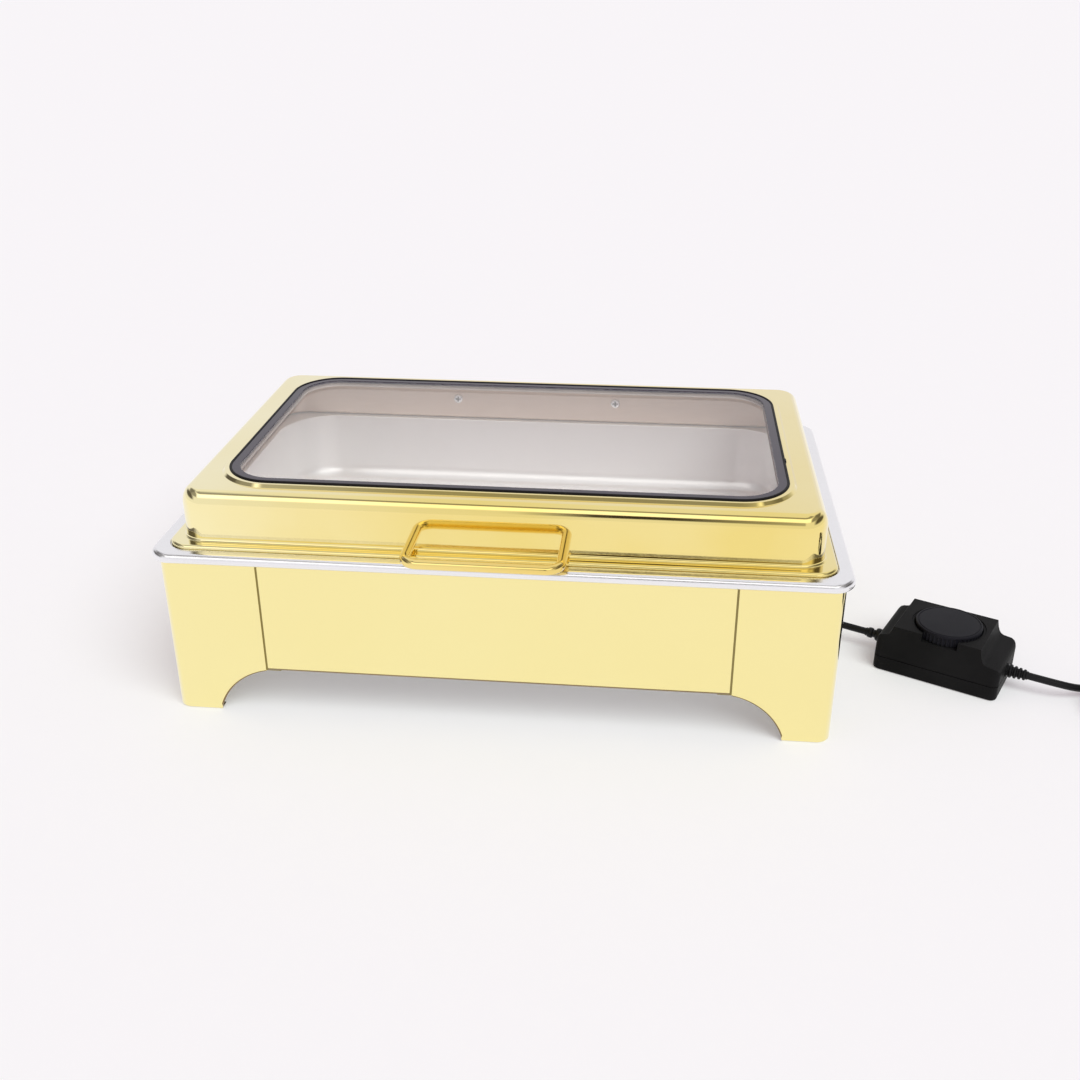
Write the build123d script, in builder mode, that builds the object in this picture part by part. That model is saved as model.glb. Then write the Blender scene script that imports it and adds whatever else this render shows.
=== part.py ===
from build123d import *
import os
from math import cos, hypot, pi, radians, sin, tan

# Electric countertop food warmer: a gold sheet base carries a water pan, a full-size food pan
# hangs in it, and a hinged lid with a glass window closes it. A dial controller sits on the cord.
# The origin is the middle of the base on the table, +X to the right, +Y to the back.

os.makedirs("parts", exist_ok=True)

# Food pan
pan_length = 530.0
pan_width = 325.0
pan_depth = 65.0
pan_sheet = 0.8
pan_rim = 12.0
pan_lip = 4.6
pan_rim_corner = 16.0
pan_corner = 52.0
pan_draft = 8.0
pan_floor_round = 16.0

# Water pan
rim_top = 148.0
rim_margin = 15.0
rim_skirt = 9.0
rim_corner = 19.0
rim_round = 3.0
tank_sheet = 0.8
tank_depth = 85.0
tank_gap = 3.2
tank_corner = 44.0
tank_draft = 7.0
tank_floor_round = 12.0
seat_drop = 3.0

# Base sheets
base_inset = 6.0
base_sheet = 1.2
base_corner = 12.0
arch_height = 40.0
foot_length = 39.5
foot_flange = 9.0
hem_width = 10.0
seam_gap = 0.8
lap_width = 14.0
lap_margin = 10.0

# Lid
lid_sheet = 1.0
lid_lift = 0.3
flange_margin = 2.5
flange_width = 9.5
flange_corner = 18.0
flange_round = 2.5
flange_lip_clear = 0.5
recess_gap = 1.5
lid_rise = 42.1
lid_corner = 20.0
lid_top_round = 9.0
lid_foot_round = 2.5

# Window
window_end_margin = 27.0
window_side_margin = 21.5
gasket_corner = 42.0
gasket_band = 11.0
gasket_lip = 1.2
gasket_grip = 4.0
glass_thickness = 4.0
glass_slack = 0.2
bead_height = 2.5
bead_width = 5.0
bead_round = 1.8
bead_foot_round = 1.2

# Lid handle
rod_diameter = 8.0
handle_span = 122.0
handle_shift = -6.5
handle_rise = 6.6
handle_reach = 36.5
handle_bend = 12.0
handle_thread_depth = 12.0

# Hinges
hinge_x = 80.0
pin_behind_rim = 7.5
pin_above_rim = 5.0
pin_diameter = 4.0
pin_head_diameter = 6.5
pin_head_thickness = 1.5
pin_fit = 0.03
knuckle_fit = 0.06
knuckle_diameter = 9.0
leaf_sheet = 2.0
leaf_width = 24.0
leaf_height = 26.0
leaf_screw_rise = 18.0
ear_thickness = 2.5
ear_gap = 0.4
ear_radius = 6.0
bracket_sheet = 2.0
bracket_shelf_drop = 19.0
bracket_plate_height = 30.0
bracket_screw_spacing = 16.0
stop_gap = 1.5
stop_rise = 13.0

# Fasteners
screw_diameter = 4.0
screw_slack = 0.2
screw_head_diameter = 8.0
screw_head_thickness = 2.6
screw_tail = 2.0
drive_width = 1.2
drive_length = 4.6
drive_depth = 1.4
nut_flats = 7.0
nut_thickness = 3.2
stud_diameter = 5.0
stud_nut_flats = 8.0
stud_nut_thickness = 4.0
thread_slack = 0.05

# Heater under the water pan
plate_end_margin = 82.0
plate_side_margin = 64.5
plate_thickness = 4.0
stud_inset = 13.0
spacer_height = 10.0
spacer_diameter = 10.0
shield_sheet = 1.0
shield_margin = 10.0
shield_side_margin = 44.5
shield_wall = 7.0
element_diameter = 8.0
element_end_margin = 25.0
element_side_margin = 30.0
element_terminal_run = 41.0
element_bend = 18.0
element_terminal_gap = 20.0
clip_sheet = 0.6
clip_width = 10.0
clip_slack = 0.15
cutout_diameter = 20.0
cutout_height = 8.5
cutout_tab = 4.0

# Terminal box under the heat shield
box_length = 50.0
box_width = 44.0
box_height = 24.0
box_wall = 2.0
box_side_gap = 58.0
box_y = -4.0
box_tab = 12.0
box_tab_thickness = 2.5
block_length = 32.0
block_width = 24.0
block_height = 12.0
wire_diameter = 2.5
wire_offset = 4.0
supply_wire_pitch = 3.0
wire_window = 30.0
lead_slack = 0.2
gland_axis_rise = 11.5
gland_nut_radius = 8.0
gland_nut_length = 4.0
gland_thread_radius = 6.0
gland_collar_radius = 9.0
gland_collar_length = 6.0
gland_dome_radius = 7.0
gland_end_radius = 5.0
gland_dome_length = 16.0

# Inline controller
controller_beside_rim = 107.0
controller_y = -43.0
controller_turn = -26.5
case_length = 108.0
case_width = 66.0
case_wall = 2.0
case_corner_cut = 11.0
case_corner_round = 4.0
lower_height = 13.5
end_rise = 16.5
end_edge_rise = 9.0
plateau_rise = 31.0
plateau_length = 76.0
plateau_slope = 9.0
side_lean = 3.0
dial_diameter = 57.0
dial_height = 10.0
dial_ribs = 48
dial_rib_radius = 0.9
dial_gap = 0.5
dial_proud = 3.0
dial_floor_gap = 0.4
pocket_floor = 2.0
dial_ring_inset = 4.0
dial_ring_width = 1.2
dial_ring_depth = 0.6
notch_width = 31.0
notch_depth = 10.0
spindle_diameter = 6.0
spindle_fit = 0.08
spindle_length = 13.0
spindle_socket = 5.0
switch_size = 26.0
board_length = 78.0
board_width = 46.0
board_thickness = 1.6
board_post_height = 6.0
board_post_diameter = 3.6
board_post_spacing = 18.0
case_post_diameter = 7.0
case_post_inset_x = 17.0
case_post_inset_y = 9.5
case_screw_diameter = 3.0
case_screw_head = 5.6
case_screw_head_depth = 2.5
case_screw_recess = 0.5
case_screw_length = 20.0

# Cord reliefs
relief_axis = 15.5
relief_radius = 6.0
relief_end_radius = 4.4
relief_length = 18.0
relief_neck_radius = 4.6
relief_rib_depth = 0.9
link_relief_ribs = 2
mains_relief_ribs = 4
relief_hole_slack = 0.15
relief_flange = 1.5
relief_flange_gap = 1.0

# Cord
cord_diameter = 6.5
cord_floor_gap = 0.15
bend_share = 0.45
link_run = 26.0
link_dip = Vector(25, 2, -10.2)
link_end_run = 18.0
lead_run = 20.0
lead_first_fall = Vector(22.7, 1, -5.5)
lead_second_fall = Vector(16, 8, -3.5)
lead_end_run = 13.0
tail_run = 29.5
tail_turn = Vector(25, -23.5, -2.65)
tail_end_run = 19.0
coil_radius = 46.5
coil_pitch = 7.0
coil_half_turns = 6
coil_beside_controller = 158.0
coil_before_controller = -72.0
coil_samples = 700
tie_thickness = 0.9
tie_width = 12.0
tie_gap = 0.35
tie_corner = 3.0

# Plug
plug_beside_coil = 62.0
plug_before_coil = -32.5
plug_length = 30.0
plug_width = 29.0
plug_height = 26.0
plug_round = 5.0
plug_boot_length = 14.0
plug_boot_radius = 7.0
plug_boot_end_radius = 4.6
blade_length = 16.0
blade_width = 6.3
blade_thickness = 1.5
blade_spacing = 12.7
blade_rise = 4.5
blade_socket = 6.0
earth_diameter = 4.8
earth_length = 19.0
earth_drop = 11.9

# Sizes that follow from the ones above
touch = 0.01
seat_top = rim_top - seat_drop
pan_top = seat_top + pan_lip
opening_length = pan_length - 2 * pan_rim
opening_width = pan_width - 2 * pan_rim
tank_length = opening_length + 2 * (pan_sheet + tank_gap)
tank_width = opening_width + 2 * (pan_sheet + tank_gap)
tank_floor = seat_top - tank_depth
tank_underside = tank_floor - tank_sheet
rim_length = pan_length + 2 * rim_margin
rim_width = pan_width + 2 * rim_margin
base_length = rim_length - 2 * base_inset
base_width = rim_width - 2 * base_inset
base_top = rim_top - tank_sheet
seam_x = base_length / 2 - foot_length - arch_height
flange_length = pan_length + 2 * flange_margin
flange_breadth = pan_width + 2 * flange_margin
flange_under = pan_top + lid_lift
flange_top = flange_under + lid_sheet
flange_bottom = seat_top + flange_lip_clear
recess_length = flange_length + 2 * recess_gap
recess_width = flange_breadth + 2 * recess_gap
recess_corner = flange_corner + recess_gap
lid_length = flange_length - 2 * flange_width
lid_width = flange_breadth - 2 * flange_width
lid_top = flange_top + lid_rise
gasket_length = lid_length - 2 * window_end_margin
gasket_width = lid_width - 2 * window_side_margin
bead_top = lid_top + bead_height
window_length = gasket_length - 2 * gasket_grip
window_width = gasket_width - 2 * gasket_grip
window_corner = gasket_corner - gasket_grip
bead_length = gasket_length + 2 * bead_width
bead_breadth = gasket_width + 2 * bead_width
bead_corner = gasket_corner + bead_width
sight_inset = gasket_band - gasket_grip
glass_seat_length = gasket_length - 2 * sight_inset
glass_seat_width = gasket_width - 2 * sight_inset
glass_seat_corner = gasket_corner - sight_inset
glass_bottom = bead_top - glass_thickness
screw_hole = screw_diameter + 2 * screw_slack
wall_front = -lid_width / 2
wall_back = lid_width / 2
handle_z = flange_top + handle_rise
pin_y = rim_width / 2 + pin_behind_rim
pin_z = rim_top + pin_above_rim
leaf_bottom = pin_z + knuckle_diameter / 2 - leaf_sheet
leaf_screw_z = pin_z + leaf_screw_rise
ear_offset = leaf_width / 2 + ear_gap
bracket_width = 2 * (ear_offset + ear_thickness)
shelf_z = pin_z - bracket_shelf_drop
stop_y = pin_y + knuckle_diameter / 2 + stop_gap
bracket_screw_z = shelf_z - bracket_plate_height / 2
base_back = base_width / 2
plate_length = tank_length - 2 * plate_end_margin
plate_width = tank_width - 2 * plate_side_margin
plate_bottom = tank_underside - plate_thickness
stud_x = plate_length / 2 - stud_inset
stud_y = plate_width / 2 - stud_inset
shield_top = plate_bottom - spacer_height
shield_bottom = shield_top - shield_sheet
shield_length = tank_length - 2 * (tank_draft + shield_margin)
shield_width = tank_width - 2 * shield_side_margin
stud_end = shield_bottom - stud_nut_thickness - screw_tail
element_z = plate_bottom - element_diameter / 2
box_end = base_length / 2 - box_side_gap
box_x = box_end - box_length / 2
box_floor = shield_bottom - box_height
gland_z = box_floor + gland_axis_rise
gland_end = box_end + gland_collar_length + gland_dome_length
element_end = box_x
element_right = box_x - element_terminal_run
element_left = element_end_margin - plate_length / 2
element_side = plate_width / 2 - element_side_margin
controller_x = rim_length / 2 + controller_beside_rim
case_axis = Vector(cos(radians(controller_turn)), sin(radians(controller_turn)), 0)
case_plane = Plane(origin=(controller_x, controller_y, 0), x_dir=case_axis, z_dir=(0, 0, 1))
case_side = Plane(origin=(controller_x, controller_y, 0), x_dir=case_axis, z_dir=case_plane.y_dir * -1)
cover_top = lower_height + plateau_rise
dial_top = cover_top + dial_proud
dial_bottom = dial_top - dial_height
pocket_z = dial_bottom - dial_floor_gap
switch_bottom = case_wall + board_post_height + board_thickness
switch_top = pocket_z - pocket_floor
spindle_bottom = dial_bottom - spindle_length
cord_radius = cord_diameter / 2
relief_reach = case_length / 2 + relief_length
link_boot_end = Vector(controller_x, controller_y, relief_axis) - case_axis * relief_reach
lead_boot_end = Vector(controller_x, controller_y, relief_axis) + case_axis * relief_reach
coil_x = controller_x + coil_beside_controller
coil_y = controller_y + coil_before_controller
coil_z = cord_radius + tie_thickness + tie_gap + cord_floor_gap
coil_upper_z = coil_z + coil_pitch
plug_axis = plug_height / 2


def slab(bottom, height, length, width, corner, mode=Mode.ADD):
    """Level plate with rounded corners, standing on a height."""
    with BuildSketch(Plane.XY.offset(bottom)) as outline:
        RectangleRounded(length, width, corner)
    extrude(outline.sketch, amount=height, mode=mode)


def cap(bottom, top, length, width, corner, edge_round):
    """Rounded slab whose top edge is rounded over."""
    with BuildPart() as shape:
        with BuildSketch(Plane.XY.offset(bottom)):
            RectangleRounded(length, width, corner)
        extrude(amount=top - bottom)
        fillet(shape.edges().group_by(Axis.Z)[-1], edge_round)
    return shape.part


def dish(top, depth, length, width, corner, draft, floor_round):
    """Tray body that narrows to its floor, with a round at the floor's edge."""
    with BuildPart() as shape:
        with BuildSketch(Plane.XY.offset(top)):
            RectangleRounded(length, width, corner)
        with BuildSketch(Plane.XY.offset(top - depth)):
            RectangleRounded(length - 2 * draft, width - 2 * draft, corner - draft / 2)
        loft(ruled=True)
        fillet(shape.edges().group_by(Axis.Z)[0], floor_round)
    return shape.part


def rod(start, direction, radius, length, mode=Mode.ADD):
    """Round bar from a point along a direction."""
    with BuildSketch(Plane(origin=start, z_dir=direction)) as section:
        Circle(radius)
    extrude(section.sketch, amount=length, mode=mode)


def pan_screw(seat, inward, length):
    """Pan-head screw: its head stands on the seat, its shank runs inward, a cross is cut in it."""
    head_plane = Plane(origin=seat, z_dir=inward * -1)
    rod(seat, inward, screw_diameter / 2, length)
    with BuildSketch(head_plane) as head:
        Circle(screw_head_diameter / 2)
    extrude(head.sketch, amount=screw_head_thickness)
    with BuildSketch(head_plane.offset(screw_head_thickness - drive_depth)) as cross:
        Rectangle(drive_length, drive_width)
        Rectangle(drive_width, drive_length)
    extrude(cross.sketch, amount=drive_depth, mode=Mode.SUBTRACT)


def hex_nut(seat, direction, flats, thickness, bore):
    """Six-sided nut standing on a seat."""
    with BuildSketch(Plane(origin=seat, z_dir=direction)) as outline:
        RegularPolygon(flats / 2, 6, major_radius=False)
        Circle(bore / 2, mode=Mode.SUBTRACT)
    extrude(outline.sketch, amount=thickness)


def smooth_route(points):
    """Corner radii of a cord's route, each as large as its two runs allow."""
    radii = []
    for before, corner, after in zip(points, points[1:], points[2:]):
        run_in = corner - before
        run_out = after - corner
        half_turn = radians(run_in.get_angle(run_out)) / 2
        radii.append(bend_share * min(run_in.length, run_out.length) / tan(half_turn))
    return radii


def cord_tube(points):
    """Round cord along straight runs joined by tangent arcs."""
    radii = smooth_route(points)
    with BuildPart() as tube:
        with BuildLine() as route:
            FilletPolyline(*points, radius=radii)
        middle_line = route.wire()
        with BuildSketch(Plane(origin=middle_line @ 0, z_dir=middle_line % 0)):
            Circle(cord_radius)
        sweep(path=middle_line)
    expected = pi * cord_radius**2 * middle_line.length
    print("cord radii", [round(r, 1) for r in radii], "length", round(middle_line.length, 1))
    print("cord volume against section times length", round(tube.part.volume / expected, 4))
    return tube.part


# Food pan
pan_outer = dish(
    pan_top,
    pan_depth,
    opening_length + 2 * pan_sheet,
    opening_width + 2 * pan_sheet,
    pan_corner + pan_sheet,
    pan_draft,
    pan_floor_round + pan_sheet,
)
pan_inner = dish(
    pan_top, pan_depth - pan_sheet, opening_length, opening_width, pan_corner, pan_draft, pan_floor_round
)
with BuildPart() as food_pan:
    slab(seat_top, pan_lip, pan_length, pan_width, pan_rim_corner)
    slab(
        seat_top,
        pan_lip - pan_sheet,
        pan_length - 2 * pan_sheet,
        pan_width - 2 * pan_sheet,
        pan_rim_corner - pan_sheet,
        Mode.SUBTRACT,
    )
    add(pan_outer)
    add(pan_inner, mode=Mode.SUBTRACT)

# Water pan, with the weld studs that hold the heater
rim_outer = cap(rim_top - rim_skirt, rim_top, rim_length, rim_width, rim_corner, rim_round)
rim_inner = cap(
    rim_top - rim_skirt,
    rim_top - tank_sheet,
    rim_length - 2 * tank_sheet,
    rim_width - 2 * tank_sheet,
    rim_corner - tank_sheet,
    rim_round - tank_sheet,
)
tank_outer = dish(
    seat_top,
    tank_depth + tank_sheet,
    tank_length + 2 * tank_sheet,
    tank_width + 2 * tank_sheet,
    tank_corner + tank_sheet,
    tank_draft,
    tank_floor_round + tank_sheet,
)
tank_inner = dish(
    seat_top, tank_depth, tank_length, tank_width, tank_corner, tank_draft, tank_floor_round
)
with BuildPart() as water_pan:
    add(rim_outer)
    add(rim_inner, mode=Mode.SUBTRACT)
    slab(
        seat_top - tank_sheet,
        seat_drop + tank_sheet,
        recess_length + 2 * tank_sheet,
        recess_width + 2 * tank_sheet,
        recess_corner + tank_sheet,
    )
    slab(seat_top, seat_drop, recess_length, recess_width, recess_corner, Mode.SUBTRACT)
    add(tank_outer)
    add(tank_inner, mode=Mode.SUBTRACT)
    with BuildSketch(Plane.XY.offset(stud_end)):
        with GridLocations(2 * stud_x, 2 * stud_y, 2, 2):
            Circle(stud_diameter / 2)
    extrude(amount=tank_underside - stud_end)


# Base: two folded end frames with feet and arches, a front and a rear panel
def base_shell():
    """Whole base ring with its turned-in feet, cut by the arches on all four sides."""
    inner_corner = base_corner - base_sheet
    slab(0, base_top, base_length, base_width, base_corner)
    slab(
        base_sheet,
        base_top - base_sheet,
        base_length - 2 * base_sheet,
        base_width - 2 * base_sheet,
        inner_corner,
        Mode.SUBTRACT,
    )
    slab(
        0,
        base_sheet,
        base_length - 2 * foot_flange,
        base_width - 2 * foot_flange,
        inner_corner,
        Mode.SUBTRACT,
    )
    with BuildSketch(Plane.XZ) as front_arch:
        SlotOverall(base_length - 2 * foot_length, 2 * arch_height)
    extrude(front_arch.sketch, amount=base_width, both=True, mode=Mode.SUBTRACT)
    with BuildSketch(Plane.YZ) as side_arch:
        SlotOverall(base_width - 2 * foot_length, 2 * arch_height)
    extrude(side_arch.sketch, amount=base_length, both=True, mode=Mode.SUBTRACT)


def end_frame(side):
    """One end of the base: its side wall, the two corners and a strip of front and back."""
    kept = seam_x + seam_gap / 2
    hem_span = base_width - 2 * (foot_length + arch_height)
    with BuildPart() as frame:
        base_shell()
        with Locations((side * (kept - base_length), 0, base_top / 2)):
            Box(2 * base_length, 2 * base_width, 2 * base_top, mode=Mode.SUBTRACT)
        with Locations((side * (base_length - hem_width) / 2, 0, arch_height + base_sheet / 2)):
            Box(hem_width, hem_span, base_sheet)
    return frame


def long_panel(side):
    """Front or rear panel: a plain sheet with a hem below and a lap behind each seam."""
    half = seam_x - seam_gap / 2
    face = side * base_width / 2
    inward = -side
    height = base_top - arch_height
    lap_height = height - 2 * lap_margin
    with BuildPart() as panel:
        with Locations((0, face + inward * base_sheet / 2, arch_height + height / 2)):
            Box(2 * half, base_sheet, height)
        with Locations((0, face + inward * hem_width / 2, arch_height + base_sheet / 2)):
            Box(2 * half, hem_width, base_sheet)
        lap_y = face + inward * (base_sheet + base_sheet / 2)
        with Locations((-half, lap_y, arch_height + height / 2), (half, lap_y, arch_height + height / 2)):
            Box(2 * lap_width, base_sheet, lap_height)
    return panel


left_end_frame = end_frame(-1)
right_end_frame = end_frame(1)
front_panel = long_panel(-1)
with BuildPart() as rear_panel:
    add(long_panel(1).part)
    for hinge in (-hinge_x, hinge_x):
        for step in (-bracket_screw_spacing / 2, bracket_screw_spacing / 2):
            rod(
                (hinge + step, base_back - 2 * base_sheet, bracket_screw_z),
                (0, 1, 0),
                screw_hole / 2,
                4 * base_sheet,
                Mode.SUBTRACT,
            )

# Lid shell: lipped flange, rounded dome, raised bead round the window
flange_outer = cap(flange_bottom, flange_top, flange_length, flange_breadth, flange_corner, flange_round)
flange_inner = cap(
    flange_bottom,
    flange_under,
    flange_length - 2 * lid_sheet,
    flange_breadth - 2 * lid_sheet,
    flange_corner - lid_sheet,
    flange_round - lid_sheet,
)
dome_outer = cap(flange_under, lid_top, lid_length, lid_width, lid_corner, lid_top_round)
dome_inner = cap(
    flange_bottom,
    lid_top - lid_sheet,
    lid_length - 2 * lid_sheet,
    lid_width - 2 * lid_sheet,
    lid_corner - lid_sheet,
    lid_top_round - lid_sheet,
)
handle_feet = [handle_shift - handle_span / 2, handle_shift + handle_span / 2]
with BuildPart() as lid_shell:
    add(flange_outer)
    add(flange_inner, mode=Mode.SUBTRACT)
    add(dome_outer)
    flange_edges = lid_shell.edges().filter_by_position(Axis.Z, flange_top - touch, flange_top + touch)
    dome_foot = flange_edges.filter_by(
        lambda edge: abs(edge.center().X) < lid_length / 2 + touch
        and abs(edge.center().Y) < lid_width / 2 + touch
    )
    fillet(dome_foot, lid_foot_round)
    slab(lid_top - lid_sheet, bead_height + lid_sheet, bead_length, bead_breadth, bead_corner)
    fillet(lid_shell.edges().group_by(Axis.Z)[-1], bead_round)
    top_edges = lid_shell.edges().filter_by_position(Axis.Z, lid_top - touch, lid_top + touch)
    bead_foot = top_edges.filter_by(
        lambda edge: abs(edge.center().X) < bead_length / 2 + touch
        and abs(edge.center().Y) < bead_breadth / 2 + touch
    )
    fillet(bead_foot, bead_foot_round)
    add(dome_inner, mode=Mode.SUBTRACT)
    slab(
        lid_top - 2 * lid_sheet,
        bead_height + lid_sheet,
        bead_length - 2 * lid_sheet,
        bead_breadth - 2 * lid_sheet,
        bead_corner - lid_sheet,
        Mode.SUBTRACT,
    )
    slab(lid_top, 2 * bead_height, window_length, window_width, window_corner, Mode.SUBTRACT)
    for foot in handle_feet:
        rod(
            (foot, wall_front - lid_sheet, handle_z),
            (0, 1, 0),
            screw_hole / 2,
            3 * lid_sheet,
            Mode.SUBTRACT,
        )
    for hinge in (-hinge_x, hinge_x):
        rod(
            (hinge, wall_back - 2 * lid_sheet, leaf_screw_z),
            (0, 1, 0),
            screw_hole / 2,
            3 * lid_sheet,
            Mode.SUBTRACT,
        )

# Window glass and its gasket, which grips the lid's sheet outside and the glass inside
with BuildPart() as window_glass:
    slab(
        glass_bottom,
        glass_thickness,
        glass_seat_length - 2 * glass_slack,
        glass_seat_width - 2 * glass_slack,
        glass_seat_corner - glass_slack,
    )

with BuildPart() as window_gasket:
    slab(
        glass_bottom - gasket_lip,
        glass_thickness + 2 * gasket_lip,
        gasket_length,
        gasket_width,
        gasket_corner,
    )
    slab(
        glass_bottom - 2 * gasket_lip,
        glass_thickness + 4 * gasket_lip,
        gasket_length - 2 * gasket_band,
        gasket_width - 2 * gasket_band,
        gasket_corner - gasket_band,
        Mode.SUBTRACT,
    )
    slab(
        glass_bottom, glass_thickness, glass_seat_length, glass_seat_width, glass_seat_corner, Mode.SUBTRACT
    )
    with BuildSketch(Plane.XY.offset(bead_top - lid_sheet)):
        RectangleRounded(bead_length, bead_breadth, bead_corner)
        RectangleRounded(window_length, window_width, window_corner, mode=Mode.SUBTRACT)
    extrude(amount=lid_sheet, mode=Mode.SUBTRACT)

# Lid handle: a bent rod
with BuildPart() as lid_handle:
    with BuildLine() as handle_path:
        FilletPolyline(
            (handle_feet[0], wall_front, handle_z),
            (handle_feet[0], wall_front - handle_reach, handle_z),
            (handle_feet[1], wall_front - handle_reach, handle_z),
            (handle_feet[1], wall_front, handle_z),
            radius=handle_bend,
        )
    with BuildSketch(Plane(origin=handle_path.wire() @ 0, z_dir=handle_path.wire() % 0)):
        Circle(rod_diameter / 2)
    sweep(path=handle_path.wire())
    for foot in handle_feet:
        rod(
            (foot, wall_front, handle_z),
            (0, -1, 0),
            screw_diameter / 2 + thread_slack,
            handle_thread_depth,
            Mode.SUBTRACT,
        )

with BuildPart() as handle_screws:
    for foot in handle_feet:
        seat = (foot, wall_front + lid_sheet, handle_z)
        pan_screw(seat, Vector(0, -1, 0), lid_sheet + handle_thread_depth - screw_tail)


# Hinges
def hinge_leaf(x):
    """Lid half of a hinge: a plate on the rear wall, a strap over the rim and a knuckle."""
    with BuildPart() as leaf:
        with BuildSketch(Plane.YZ.offset(x - leaf_width / 2)):
            with BuildLine():
                Polyline(
                    (wall_back, leaf_bottom),
                    (pin_y, leaf_bottom),
                    (pin_y, leaf_bottom + leaf_sheet),
                    (wall_back + leaf_sheet, leaf_bottom + leaf_sheet),
                    (wall_back + leaf_sheet, leaf_bottom + leaf_height),
                    (wall_back, leaf_bottom + leaf_height),
                    close=True,
                )
            make_face()
            with Locations((pin_y, pin_z)):
                Circle(knuckle_diameter / 2)
                Circle(pin_diameter / 2 + knuckle_fit, mode=Mode.SUBTRACT)
        extrude(amount=leaf_width)
        rod(
            (x, wall_back - leaf_sheet, leaf_screw_z),
            (0, 1, 0),
            screw_hole / 2,
            3 * leaf_sheet,
            Mode.SUBTRACT,
        )
    return leaf


def hinge_bracket(x):
    """Base half of a hinge: a plate on the rear panel, a shelf, two ears and a stop behind."""
    bore = pin_diameter / 2 + pin_fit
    stop_back = stop_y + bracket_sheet
    plate_bottom_z = shelf_z - bracket_plate_height
    ear_front = pin_y - ear_radius
    with BuildPart() as bracket:
        with BuildSketch(Plane.YZ.offset(x - bracket_width / 2)):
            with BuildLine():
                Polyline(
                    (base_back, plate_bottom_z),
                    (base_back + bracket_sheet, plate_bottom_z),
                    (base_back + bracket_sheet, shelf_z),
                    (stop_back, shelf_z),
                    (stop_back, pin_z + stop_rise),
                    (stop_y, pin_z + stop_rise),
                    (stop_y, shelf_z + bracket_sheet),
                    (base_back, shelf_z + bracket_sheet),
                    close=True,
                )
            make_face()
        extrude(amount=bracket_width)
        for ear_x in (x - bracket_width / 2, x + ear_offset):
            with BuildSketch(Plane.YZ.offset(ear_x)) as ear:
                with BuildLine():
                    Polyline(
                        (ear_front, shelf_z),
                        (stop_back, shelf_z),
                        (stop_back, pin_z),
                        (ear_front, pin_z),
                        close=True,
                    )
                make_face()
                with Locations((pin_y, pin_z)):
                    Circle(ear_radius)
                    Circle(bore, mode=Mode.SUBTRACT)
            extrude(ear.sketch, amount=ear_thickness)
        for step in (-bracket_screw_spacing / 2, bracket_screw_spacing / 2):
            rod(
                (x + step, base_back - bracket_sheet, bracket_screw_z),
                (0, 1, 0),
                screw_hole / 2,
                3 * bracket_sheet,
                Mode.SUBTRACT,
            )
    return bracket


hinge_leaf_left = hinge_leaf(-hinge_x)
hinge_leaf_right = hinge_leaf(hinge_x)
hinge_bracket_left = hinge_bracket(-hinge_x)
hinge_bracket_right = hinge_bracket(hinge_x)

with BuildPart() as hinge_pins:
    for x in (-hinge_x, hinge_x):
        left = x - bracket_width / 2
        rod((left, pin_y, pin_z), (1, 0, 0), pin_diameter / 2, bracket_width)
        rod((left, pin_y, pin_z), (-1, 0, 0), pin_head_diameter / 2, pin_head_thickness)
        rod((left + bracket_width, pin_y, pin_z), (1, 0, 0), pin_head_diameter / 2, pin_head_thickness)

leaf_grip = lid_sheet + leaf_sheet
with BuildPart() as hinge_leaf_screws:
    for x in (-hinge_x, hinge_x):
        seat = (x, wall_back - lid_sheet, leaf_screw_z)
        pan_screw(seat, Vector(0, 1, 0), leaf_grip + nut_thickness + screw_tail)

with BuildPart() as hinge_leaf_nuts:
    for x in (-hinge_x, hinge_x):
        seat = (x, wall_back + leaf_sheet, leaf_screw_z)
        hex_nut(seat, (0, 1, 0), nut_flats, nut_thickness, screw_diameter + 2 * thread_slack)

bracket_grip = base_sheet + bracket_sheet
bracket_screw_x = [
    hinge + step
    for hinge in (-hinge_x, hinge_x)
    for step in (-bracket_screw_spacing / 2, bracket_screw_spacing / 2)
]
with BuildPart() as hinge_bracket_screws:
    for x in bracket_screw_x:
        seat = (x, base_back + bracket_sheet, bracket_screw_z)
        pan_screw(seat, Vector(0, -1, 0), bracket_grip + nut_thickness + screw_tail)

with BuildPart() as hinge_bracket_nuts:
    for x in bracket_screw_x:
        seat = (x, base_back - base_sheet, bracket_screw_z)
        hex_nut(seat, (0, -1, 0), nut_flats, nut_thickness, screw_diameter + 2 * thread_slack)

# Heater: plate, bent tube, clips, cut-out, and a shield held below by studs and spacers
with BuildPart() as heater_plate:
    with BuildSketch(Plane.XY.offset(plate_bottom)):
        Rectangle(plate_length, plate_width)
        with GridLocations(2 * stud_x, 2 * stud_y, 2, 2):
            Circle(stud_diameter / 2 + screw_slack, mode=Mode.SUBTRACT)
    extrude(amount=plate_thickness)

half_terminal = element_terminal_gap / 2
with BuildPart() as heating_element:
    with BuildLine() as element_path:
        FilletPolyline(
            (element_end, box_y + half_terminal, element_z),
            (element_right, box_y + half_terminal, element_z),
            (element_right, element_side, element_z),
            (element_left, element_side, element_z),
            (element_left, -element_side, element_z),
            (element_right, -element_side, element_z),
            (element_right, box_y - half_terminal, element_z),
            (element_end, box_y - half_terminal, element_z),
            radius=element_bend,
        )
    with BuildSketch(Plane(origin=element_path.wire() @ 0, z_dir=element_path.wire() % 0)):
        Circle(element_diameter / 2)
    sweep(path=element_path.wire())

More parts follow.
